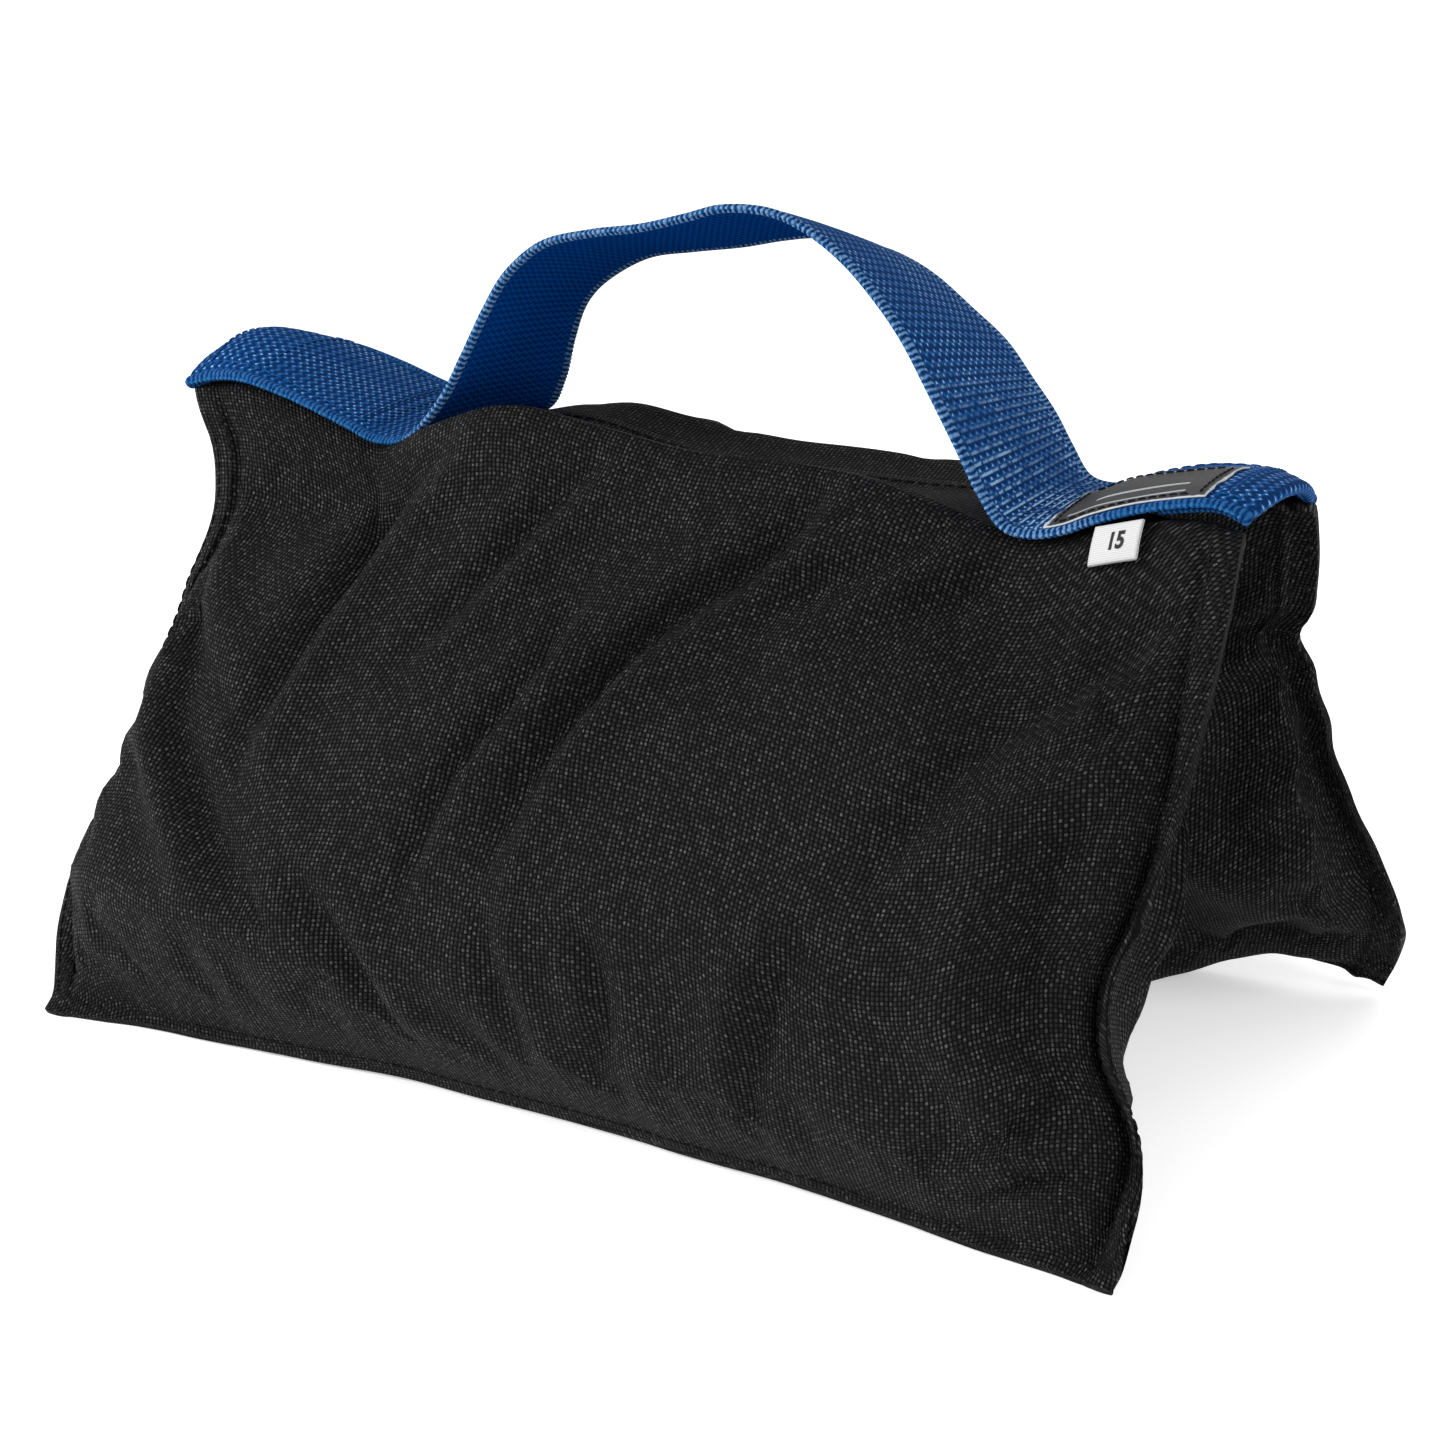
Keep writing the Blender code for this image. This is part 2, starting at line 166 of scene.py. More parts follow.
def run_along(line):
    """How far along a line of points each one lies."""
    return np.concatenate([[0.0], np.cumsum(np.linalg.norm(np.diff(line, axis=0), axis=1))])


def arc_lengths(grid, axis):
    step = np.linalg.norm(np.diff(grid, axis=axis), axis=2)
    zero = np.zeros_like(np.take(step, [0], axis=axis))
    return np.concatenate([zero, np.cumsum(step, axis=axis)], axis=axis)


def flip_if_inside_out(mesh):
    bm = bmesh.new()
    bm.from_mesh(mesh)
    bmesh.ops.recalc_face_normals(bm, faces=bm.faces)
    bm.to_mesh(mesh)
    bm.free()
    return mesh


def closed_piece(name, top, low, top_uvs, low_uvs, material):
    """A closed piece between two grids of points in millimetres."""
    top, low = np.array(top), np.array(low)
    grid = np.concatenate([top.reshape(-1, 3), low.reshape(-1, 3)])
    uvs = np.concatenate([np.reshape(top_uvs, (-1, 2)), np.reshape(low_uvs, (-1, 2))])
    mesh = mesh_from(name, grid * MM, closed_faces(*top.shape[:2]), uvs * MM)
    return link(name, flip_if_inside_out(mesh), material)


# ---- material helpers ----
class Nodes:
    """Short calls for building a node tree."""

    def __init__(self, name):
        self.mat = bpy.data.materials.new(name)
        self.mat.use_nodes = True
        self.tree = self.mat.node_tree
        self.shader = self.tree.nodes["Principled BSDF"]

    def add(self, kind, **settings):
        node = self.tree.nodes.new(kind)
        for key, value in settings.items():
            setattr(node, key, value)
        return node

    def wire(self, value, socket):
        if isinstance(value, bpy.types.NodeSocket):
            self.tree.links.new(value, socket)
        else:
            socket.default_value = value

    def math(self, operation, *values):
        node = self.add("ShaderNodeMath", operation=operation)
        for value, socket in zip(values, node.inputs):
            self.wire(value, socket)
        return node.outputs[0]

    def uv(self):
        split = self.add("ShaderNodeSeparateXYZ")
        self.wire(self.add("ShaderNodeUVMap", uv_map="flat").outputs[0], split.inputs[0])
        return split.outputs[0], split.outputs[1]

    def times(self, first, *others):
        for value in others:
            first = self.math("MULTIPLY", first, value)
        return first

    def wave(self, value, pitch, kind="SINE"):
        return self.math(kind, self.times(value, 2 * math.pi / pitch))

    def pulse(self, value, pitch, kind="SINE"):
        """A wave from 0 to 1."""
        return self.math("MULTIPLY_ADD", self.wave(value, pitch, kind), 0.5, 0.5)

    def noise(self, scale, detail=2.0):
        node = self.add("ShaderNodeTexNoise")
        node.inputs["Scale"].default_value = scale
        node.inputs["Detail"].default_value = detail
        self.wire(self.add("ShaderNodeTexCoord").outputs["Object"], node.inputs["Vector"])
        return node.outputs["Fac"]

    def cell(self, a, b):
        """A random value for each whole-number cell."""
        join = self.add("ShaderNodeCombineXYZ")
        self.wire(self.math("FLOOR", a), join.inputs[0])
        self.wire(self.math("FLOOR", b), join.inputs[1])
        node = self.add("ShaderNodeTexWhiteNoise", noise_dimensions="2D")
        self.wire(join.outputs[0], node.inputs["Vector"])
        return node.outputs["Value"]

    def mix(self, factor, a, b):
        node = self.add("ShaderNodeMix", data_type="RGBA")
        self.wire(factor, node.inputs[0])
        for value, socket in ((a, node.inputs[6]), (b, node.inputs[7])):
            self.wire(value if isinstance(value, bpy.types.NodeSocket) else (*value, 1.0), socket)
        return node.outputs[2]

    def remap(self, value, from_low, from_high, to_low=0.0, to_high=1.0):
        node = self.add("ShaderNodeMapRange", interpolation_type="SMOOTHSTEP")
        self.wire(value, node.inputs["Value"])
        for key, number in (("From Min", from_low), ("From Max", from_high),
                            ("To Min", to_low), ("To Max", to_high)):
            node.inputs[key].default_value = number
        return node.outputs["Result"]

    def bump(self, height, distance, strength=1.0):
        node = self.add("ShaderNodeBump")
        node.inputs["Strength"].default_value = strength
        node.inputs["Distance"].default_value = distance
        self.wire(height, node.inputs["Height"])
        self.wire(node.outputs["Normal"], self.shader.inputs["Normal"])

    def finish(self, color, roughness, specular):
        self.wire(color if isinstance(color, bpy.types.NodeSocket) else (*color, 1.0),
                  self.shader.inputs["Base Color"])
        self.wire(roughness, self.shader.inputs["Roughness"])
        self.shader.inputs["Specular IOR Level"].default_value = specular
        return self.mat


def nylon_material(name, dark, light, painted_glint_color):
    """Plain-woven nylon: staggered raised yarns with painted light and shade, crowns lighter and gaps
    darker, and painted glints on some of them.
    """
    n = Nodes(name)
    u, v = n.uv()
    pitch_u, pitch_v = 0.00220, 0.00215
    jitter = n.times(n.math("SUBTRACT", n.noise(260.0), 0.5), 0.00050)
    u, v = n.math("ADD", u, jitter), n.math("SUBTRACT", v, jitter)
    wave_u, wave_v = n.wave(u, pitch_u), n.wave(v, pitch_v)
    weave = n.times(n.math("POWER", n.math("ABSOLUTE", wave_u), 0.95),
                    n.math("POWER", n.math("ABSOLUTE", wave_v), 0.50))
    over = n.remap(n.times(wave_u, wave_v), -0.12, 0.12, 0.42, 1.0)
    cells = n.cell(n.times(u, 2 / pitch_u), n.times(v, 2 / pitch_v))
    fibre = n.noise(2300.0)
    # painted light and shade: yarn crowns lighter, gaps between yarns and lower-lying yarns darker; the
    # per-cell factor is the yarns' own random tone
    painted_crown_shade_and_tone = n.times(n.remap(weave, 0.22, 0.80), over, n.remap(cells, 0.0, 1.0, 0.45, 1.0))
    # painted highlight: glints painted into the colour on some raised yarns
    painted_glint = n.times(n.remap(cells, 0.60, 1.0), n.remap(weave, 0.50, 0.95),
                    n.remap(fibre, 0.40, 0.62))
    color = n.mix(painted_glint, n.mix(painted_crown_shade_and_tone, dark, light), painted_glint_color)
    n.bump(n.math("MULTIPLY_ADD", fibre, 0.25, weave), 0.00040, 1.0)
    return n.finish(color, n.remap(weave, 0.0, 1.0, 0.90, 0.60), 0.08)


def webbing_material(name, deep, field, pale, under):
    """Ribbed webbing with staggered pale floats, painted shade in the troughs between its ribs and painted
    highlight lines across the ribs of the handle's right limb; u runs along the strap and v across it.
    """
    n = Nodes(name)
    u, v = n.uv()
    along = (UNDER_PITCH if under else RIB_PITCH) * MM
    column = n.times(v, 1.0 / (RIB_COLUMN * MM))
    stagger = n.times(n.math("PINGPONG", column, 1.0), 0.5)
    row = n.math("ADD", n.times(u, 1.0 / along), stagger)
    rib = n.pulse(row, 1.0, "COSINE")
    post = n.math("ABSOLUTE", n.wave(column, 2.0, "COSINE"))
    cells = n.cell(row, column)
    fibre = n.noise(1900.0)
    wear = n.noise(60.0, 3.0)
    # painted highlight: pale lines across the rib crests of the handle's right limb; they share the pale
    # colour of the float dots, which are the webbing's own pattern
    limb = n.times(n.remap(u, HIGHLIGHT_LIMB[0], HIGHLIGHT_LIMB[1]), n.remap(u, HIGHLIGHT_LIMB[2], HIGHLIGHT_LIMB[3], 1.0, 0.0))
    straight = n.wave(u, along, "COSINE")
    line = n.times(n.remap(straight, 0.45, 0.95), limb, 0.8)
    float_dots_and_painted_highlight = n.math("MAXIMUM", n.times(n.remap(rib, 0.74, 0.99), n.remap(post, 0.72, 0.99)), line)
    float_dots_and_painted_highlight = n.times(float_dots_and_painted_highlight, n.remap(cells, 0.10, 0.70, 0.10, 1.0), n.remap(wear, 0.36, 0.60, 0.30, 1.0))
    if under:
        float_dots_and_painted_highlight = n.times(float_dots_and_painted_highlight, 0.12)
    # painted shade: rib troughs take the deep colour and rib crests the field colour; the fibre noise is
    # the yarn's own tone
    painted_rib_shade_and_fibre_tone = n.math("MULTIPLY_ADD", rib, 0.60, n.times(fibre, 0.45))
    base = n.mix(n.remap(painted_rib_shade_and_fibre_tone, 0.2, 0.9), deep, field)
    color = n.mix(float_dots_and_painted_highlight, base, pale)
    n.bump(n.math("MULTIPLY_ADD", fibre, 0.35, rib), 0.00030 if not under else 0.00012, 0.8)
    return n.finish(color, n.remap(rib, 0.0, 1.0, 0.85, 0.65), 0.0 if under else 0.04)


def fibre_material(name, dark, light):
    """Twisted thread or yarn."""
    n = Nodes(name)
    fibre = n.noise(2400.0)
    n.bump(fibre, 0.00012, 0.7)
    return n.finish(n.mix(n.remap(fibre, 0.3, 0.7), dark, light), 0.7, 0.05)


def loop_material(name, dark, light, pale):
    """The looped edge of the webbing, paler where it is worn along the handle."""
    n = Nodes(name)
    u, _ = n.uv()
    worn = n.times(n.remap(u, HANDLE_RUN[0], HANDLE_RUN[1]),
                   n.remap(u, HANDLE_RUN[2], HANDLE_RUN[3], 1.0, 0.0))
    fibre = n.noise(900.0)
    loose = n.math("MULTIPLY_ADD", n.noise(420.0), 0.0012, u)
    picks = n.pulse(loose, 0.00140)
    tone = n.math("MULTIPLY_ADD", picks, 0.42, n.times(fibre, 0.70))
    base = n.mix(n.remap(tone, 0.30, 0.75), dark, light)
    worn = n.times(n.math("MULTIPLY_ADD", worn, 0.46, 0.07), n.remap(tone, 0.50, 0.74))
    n.bump(tone, 0.00030, 0.8)
    return n.finish(n.mix(worn, base, pale), 0.85, 0.05)


# ---- strap shape ----
# Along the strap: front edge x and z, rear edge x and z, rise of its middle above the edges.
STRAP = np.array([
    (-143.6, 152.8, -142.8, 151.5, 7.0), (-136.0, 154.8, -135.5, 153.6, 8.8),
    (-125.0, 155.8, -125.0, 155.0, 5.4), (-110.0, 153.2, -110.5, 152.2, 1.9),
    (-94.0, 148.4, -95.0, 147.8, 1.4), (-84.0, 145.2, -80.0, 144.6, 1.5),
    (-74.0, 147.4, -64.6, 145.8, 1.4), (-64.0, 158.0, -59.2, 154.2, 1.0),
    (-56.8, 170.0, -56.2, 165.2, 0.8), (-50.4, 181.6, -52.2, 174.8, 0.8),
    (-44.0, 191.2, -45.0, 182.0, 0.8), (-34.0, 199.2, -33.0, 188.6, 0.8),
    (-21.0, 203.0, -19.8, 191.4, 0.8), (-7.0, 205.6, -6.0, 193.8, 0.8),
    (5.0, 209.0, 6.0, 196.6, 0.6), (15.0, 212.0, 16.0, 198.0, 0.6),
    (26.6, 212.2, 26.2, 196.6, 0.8), (36.4, 209.2, 36.4, 194.8, 0.8),
    (46.0, 203.4, 46.2, 190.6, 0.8), (54.2, 195.8, 56.2, 183.6, 0.8),
    (61.8, 186.8, 65.4, 176.6, 0.8), (69.2, 175.2, 72.4, 168.2, 0.8),
    (76.0, 164.0, 78.2, 161.0, 0.8), (82.2, 153.4, 82.8, 153.6, 1.0),
    (87.6, 146.6, 87.6, 146.8, 1.2), (94.0, 145.2, 94.0, 145.2, 1.8),
    (102.0, 147.0, 101.0, 146.8, 2.2), (110.0, 150.6, 109.0, 149.8, 2.8),
    (121.0, 154.8, 120.0, 153.0, 2.0), (133.0, 157.6, 132.0, 153.6, 2.9),
    (139.0, 157.6, 138.6, 151.8, 5.0), (143.8, 155.8, 143.4, 149.0, 6.6)])
FABRIC_CROWN = curve((-145, 150.0), (-140, 153.0), (-133, 156.0), (-125, 157.0), (-110, 151.6),
                     (-94, 146.6), (-82, 143.9), (-72, 145.6), (-62, 147.2), (-50, 148.8),
                     (-36, 148.8), (-16, 145.4), (8, 143.4), (34, 144.0), (54, 144.4),
                     (68, 145.2), (77, 145.6), (87, 144.8), (94, 144.6), (101, 146.4),
                     (109, 149.4), (120, 151.2), (130, 151.6), (145, 149.6))
EDGE_HEIGHT = {
    "front": curve((-145, 150.8), (-136, 152.0), (-125, 152.4), (-110, 150.2), (-94, 145.8),
                   (-85, 143.0), (-78, 144.6), (-70, 149.0), (-60, 153.8), (-50, 157.6),
                   (-40, 159.0), (-28, 157.2), (-16, 155.4), (8, 152.8), (34, 153.4),
                   (54, 152.2), (68, 148.8), (78, 145.4), (87, 143.2), (94, 142.6),
                   (102, 144.4), (110, 147.6), (121, 151.2), (133, 153.0), (145, 151.0)),
    "rear": curve((-145, 149.4), (-136, 150.8), (-125, 151.4), (-110, 149.2), (-94, 144.8),
                  (-80, 142.0), (-66, 143.6), (-50, 147.6), (-36, 149.6), (-16, 147.6),
                  (8, 145.6), (34, 146.4), (54, 146.0), (68, 145.0), (78, 144.4), (87, 143.6),
                  (94, 142.4), (102, 144.0), (110, 146.8), (121, 150.2), (133, 150.6),
                  (145, 147.4)),
}
SHOULDER_OUT = curve((-86, 0.0), (-80, 2.4), (-70, 4.6), (-58, 4.6), (-44, 3.4), (-28, 1.0), (-14, 0.0))
HEM = 22.0               # how much of each end of the strap is folded under, mm
END_SET_BACK = 32.0      # the fabric of the ridge ends this far short of the right end, mm
HUMP = curve((-88, 0.0), (-76, 0.45), (-62, 0.9), (-45, 1.0), (40, 0.95), (62, 0.85), (78, 0.35),
             (90, 0.0))


def strap_spine():
    """Rows at even steps along the strap: x and z of the middle of its edges, rise, half of the
    way from rear to front edge (x, z), tangent (x, z)."""
    fine = catmull(len(STRAP), np.linspace(0, len(STRAP) - 1, 1600)) @ STRAP
    middle = (fine[:, 0:2] + fine[:, 2:4]) / 2
    twist = (fine[:, 0:2] - fine[:, 2:4]) / 2
    fine = np.concatenate([middle, fine[:, 4:5], twist], 1)
    run = run_along(middle)
    even = np.linspace(0, run[-1], int(run[-1] / SPINE_STEP) + 1)
    spine = np.stack([np.interp(even, run, fine[:, k]) for k in range(5)], 1)
    tangent = np.gradient(spine[:, :2], axis=0)
    tangent /= np.linalg.norm(tangent, axis=1)[:, None]
    return np.concatenate([spine, tangent], 1), even


def strap_point(row, v, lift, turn=0.0):
    """A point at v across the strap (-1 front edge, 1 rear edge), lift out from its middle layer.
    turn is how far the thickness has turned over at a folded end."""
    x, z, rise, twist_x, twist_z, tx, tz = row
    nx, nz = -tz, tx
    twist_n = twist_x * nx + twist_z * nz
    half = WIDTH / 2 * (1.0 - (2.0 / 3.0) * (rise / (WIDTH / 2)) ** 2)
    half = math.sqrt(half ** 2 - twist_x ** 2 - twist_z ** 2)
    high = rise * (1.0 - v * v)
    slope = np.arctan2(2.0 * rise * v + twist_n, half)
    out_x = nx * math.cos(turn) + tx * math.sin(turn)
    out_z = nz * math.cos(turn) + tz * math.sin(turn)
    return np.stack([x + nx * high - twist_x * v + lift * np.cos(slope) * out_x,
                     half * v + lift * np.sin(slope) * math.cos(turn),
                     z + nz * high - twist_z * v + lift * np.cos(slope) * out_z], -1)


def strap_rows():
    """The spine with both ends folded under: (row, turn, run along the strap) for each row."""
    spine, run = strap_spine()
    rows = []
    for end, index, sign in ((0, 0, -1.0), (1, -1, 1.0)):
        base = spine[index].copy()
        inward = [spine[k if end == 0 else -1 - k] for k in range(int(HEM / SPINE_STEP))]
        part = []
        for k in range(1, 7):
            phi = math.pi * k / 7
            row = base.copy()
            nx, nz = -base[6], base[5]
            row[0] += sign * base[5] * FOLD_RADIUS * math.sin(phi) - nx * FOLD_RADIUS * (1 - math.cos(phi))
            row[1] += sign * base[6] * FOLD_RADIUS * math.sin(phi) - nz * FOLD_RADIUS * (1 - math.cos(phi))
            part.append((row, sign * phi, FOLD_RADIUS * phi))
        for k, source in enumerate(inward):
            row = source.copy()
            nx, nz = -row[6], row[5]
            row[0] -= nx * 2 * FOLD_RADIUS
            row[1] -= nz * 2 * FOLD_RADIUS
            part.append((row, sign * math.pi, FOLD_RADIUS * math.pi + SPINE_STEP * k))
        rows.append(part)
    first = [(row, turn, -length) for row, turn, length in rows[0]][::-1]
    last = [(row, turn, run[-1] + length) for row, turn, length in rows[1]]
    return first + [(row, 0.0, length) for row, length in zip(spine, run)] + last


# ---- pouch shape ----
# Down a pouch: distance along the slant, bulge of the outer panel at mid length and near its ends,
# bulge of the inner panel at mid length and near its ends.
BODY = [
    (12.0, 3.2, 0.9, -1.4, 0.9), (25.0, 8.0, 2.2, 1.4, 1.0), (42.0, 16.5, 12.0, 9.0, 6.5),
    (64.0, 27.0, 25.0, 18.0, 16.5), (86.0, 33.0, 32.5, 24.0, 23.0), (108.0, 35.5, 34.0, 28.0, 27.0),
    (128.0, 33.5, 31.0, 30.5, 29.0), (143.0, 26.0, 23.0, 31.5, 29.0), (152.5, 15.0, 12.5, 31.0, 27.0),
    (158.0, 6.0, 4.6, 24.0, 20.0),
]
EDGES = {       # right and left edge of each pouch: (distance down the slant, |x|)
    ("front", 1): curve((-30, 143.6), (0, 143.6), (10, 144.4), (37, 145.2), (52, 145.6), (62, 145.2),
                        (72, 144.2), (84, 141.8), (99, 137.6), (112, 139.6), (125, 147.0),
                        (135, 150.6), (148, 151.4), (161.5, 147.8)),
    ("front", -1): curve((-30, 143.6), (0, 142.5), (6, 138.4), (12, 133.4), (24, 129.2), (50, 132.6),
                         (68, 133.0), (86, 135.6), (98, 138.6), (109, 144.4), (117, 147.6),
                         (126, 150.6), (134, 150.0), (155, 149.0), (161.5, 147.6)),
    ("rear", 1): curve((-30, 144.6), (2, 145.0), (26, 142.4), (37, 139.6), (42, 136.6), (55, 138.6),
                       (67, 140.6), (82, 141.8), (95, 145.4), (117, 153.2), (140, 156.9),
                       (154, 153.0), (161.5, 149.4)),
    ("rear", -1): curve((-30, 143.8), (4, 143.2), (28, 139.4), (50, 136.2), (80, 138.8), (108, 144.6),
                        (132, 149.4), (150, 149.0), (161.5, 146.5)),
}
FLANGE_TURN = {     # how far each flange is turned to the outside (+) or under (-), in degrees
    ("front", 1): curve((-30, 0), (14, 0), (34, 18), (60, 46), (95, 66), (130, 62), (148, 30), (161.5, 4)),
    ("front", -1): curve((-30, 0), (12, 0), (34, -26), (80, -42), (112, -30), (135, -18), (161.5, 0)),
    ("rear", 1): curve((-30, 0), (30, 0), (50, -12), (90, -24), (125, -18), (150, -4), (161.5, 0)),
    ("rear", -1): curve((-30, 0), (24, 0), (48, 20), (90, 44), (130, 36), (150, 14), (161.5, 0)),
}
FOLDS = {       # each fold: depth, width, side of its crest, then (x, z) down the fold
    "front": [
        (4.0, 6.0, 1, (-58, 148), (-70, 132), (-77, 108), (-82, 80)),
        (2.8, 4.5, 1, (-14, 152), (-27, 136), (-34, 124), (-46, 106)),
        (3.2, 4.5, 1, (-7, 122), (-12, 104), (-21, 86), (-29, 58)),
        (5.6, 5.0, 1, (44, 150), (34, 134), (14, 116), (2, 94), (-5, 70)),
        (2.6, 5.5, -1, (80, 148), (62, 136), (42, 127), (22, 114)),
        (3.6, 6.0, 1, (138, 138), (118, 122), (100, 107), (86, 88)),
        (2.8, 5.0, 1, (138, 120), (116, 106), (97, 95), (86, 80)),
        (3.8, 8.0, -1, (136, 106), (123, 88), (122, 60), (139, 35)),
        (3.0, 4.0, 1, (110, 14), (123, 21), (132, 26), (142, 28)),
        (2.4, 5.0, 1, (-4, 64), (-2, 50), (2, 36), (2, 22)),
        (2.2, 5.0, -1, (23, 60), (27, 48), (26, 38), (22, 26)),
        (2.8, 7.0, -1, (-116, 104), (-104, 84), (-90, 68), (-76, 54)),
        (2.6, 6.0, 1, (-128, 122), (-118, 106), (-106, 96), (-90, 90)),
        (2.8, 6.0, -1, (96, 144), (86, 134), (72, 127), (54, 122)),
        (2.2, 6.0, 1, (-58, 60), (-44, 44), (-36, 30), (-30, 18)),
        (2.2, 6.0, -1, (76, 70), (70, 52), (66, 40), (62, 24)),
    ],
    "rear": [
        (3.0, 6.0, 1, (-44, 150), (-54, 130), (-58, 108), (-70, 84)),
        (2.6, 5.0, -1, (-6, 150), (-12, 128), (-8, 104), (-16, 76)),
        (3.4, 6.0, 1, (48, 148), (42, 128), (30, 108), (24, 82)),
        (2.6, 6.0, -1, (134, 126), (112, 112), (94, 102), (78, 98)),
        (2.6, 6.0, 1, (-132, 128), (-114, 112), (-98, 104), (-86, 88)),
        (2.4, 7.0, -1, (-136, 60), (-122, 52), (-116, 40), (-128, 24)),
        (2.4, 7.0, 1, (132, 66), (118, 56), (112, 40), (120, 22)),
        (1.8, 5.0, 1, (-40, 66), (-34, 50), (-36, 36), (-30, 20)),
        (1.8, 5.0, -1, (58, 62), (52, 46), (56, 32), (50, 18)),
        (1.6, 5.0, 1, (8, 60), (12, 46), (8, 34), (10, 20)),
    ],
}
SWELL = curve((-30, 0.0), (10, 0.0), (34, 0.35), (60, 0.85), (84, 1.0), (103, 0.8), (116, 0.5),
              (130, 0.25), (150, 0.1), (161.5, 0.0))
ROWS, INNER_COLS, FLANGE_COLS = 78, 124, 8


def columns():
    """Places across a pouch from -1 to 1, closer together in the flanges."""
    flange = np.linspace(1.0, SEAM_U, FLANGE_COLS + 1)[:-1]
    even = np.linspace(-1.0, 1.0, INNER_COLS)
    body = SEAM_U * (0.38 * even + 0.62 * np.sin(even * math.pi / 2))
    return np.concatenate([-flange, body, flange[::-1]])


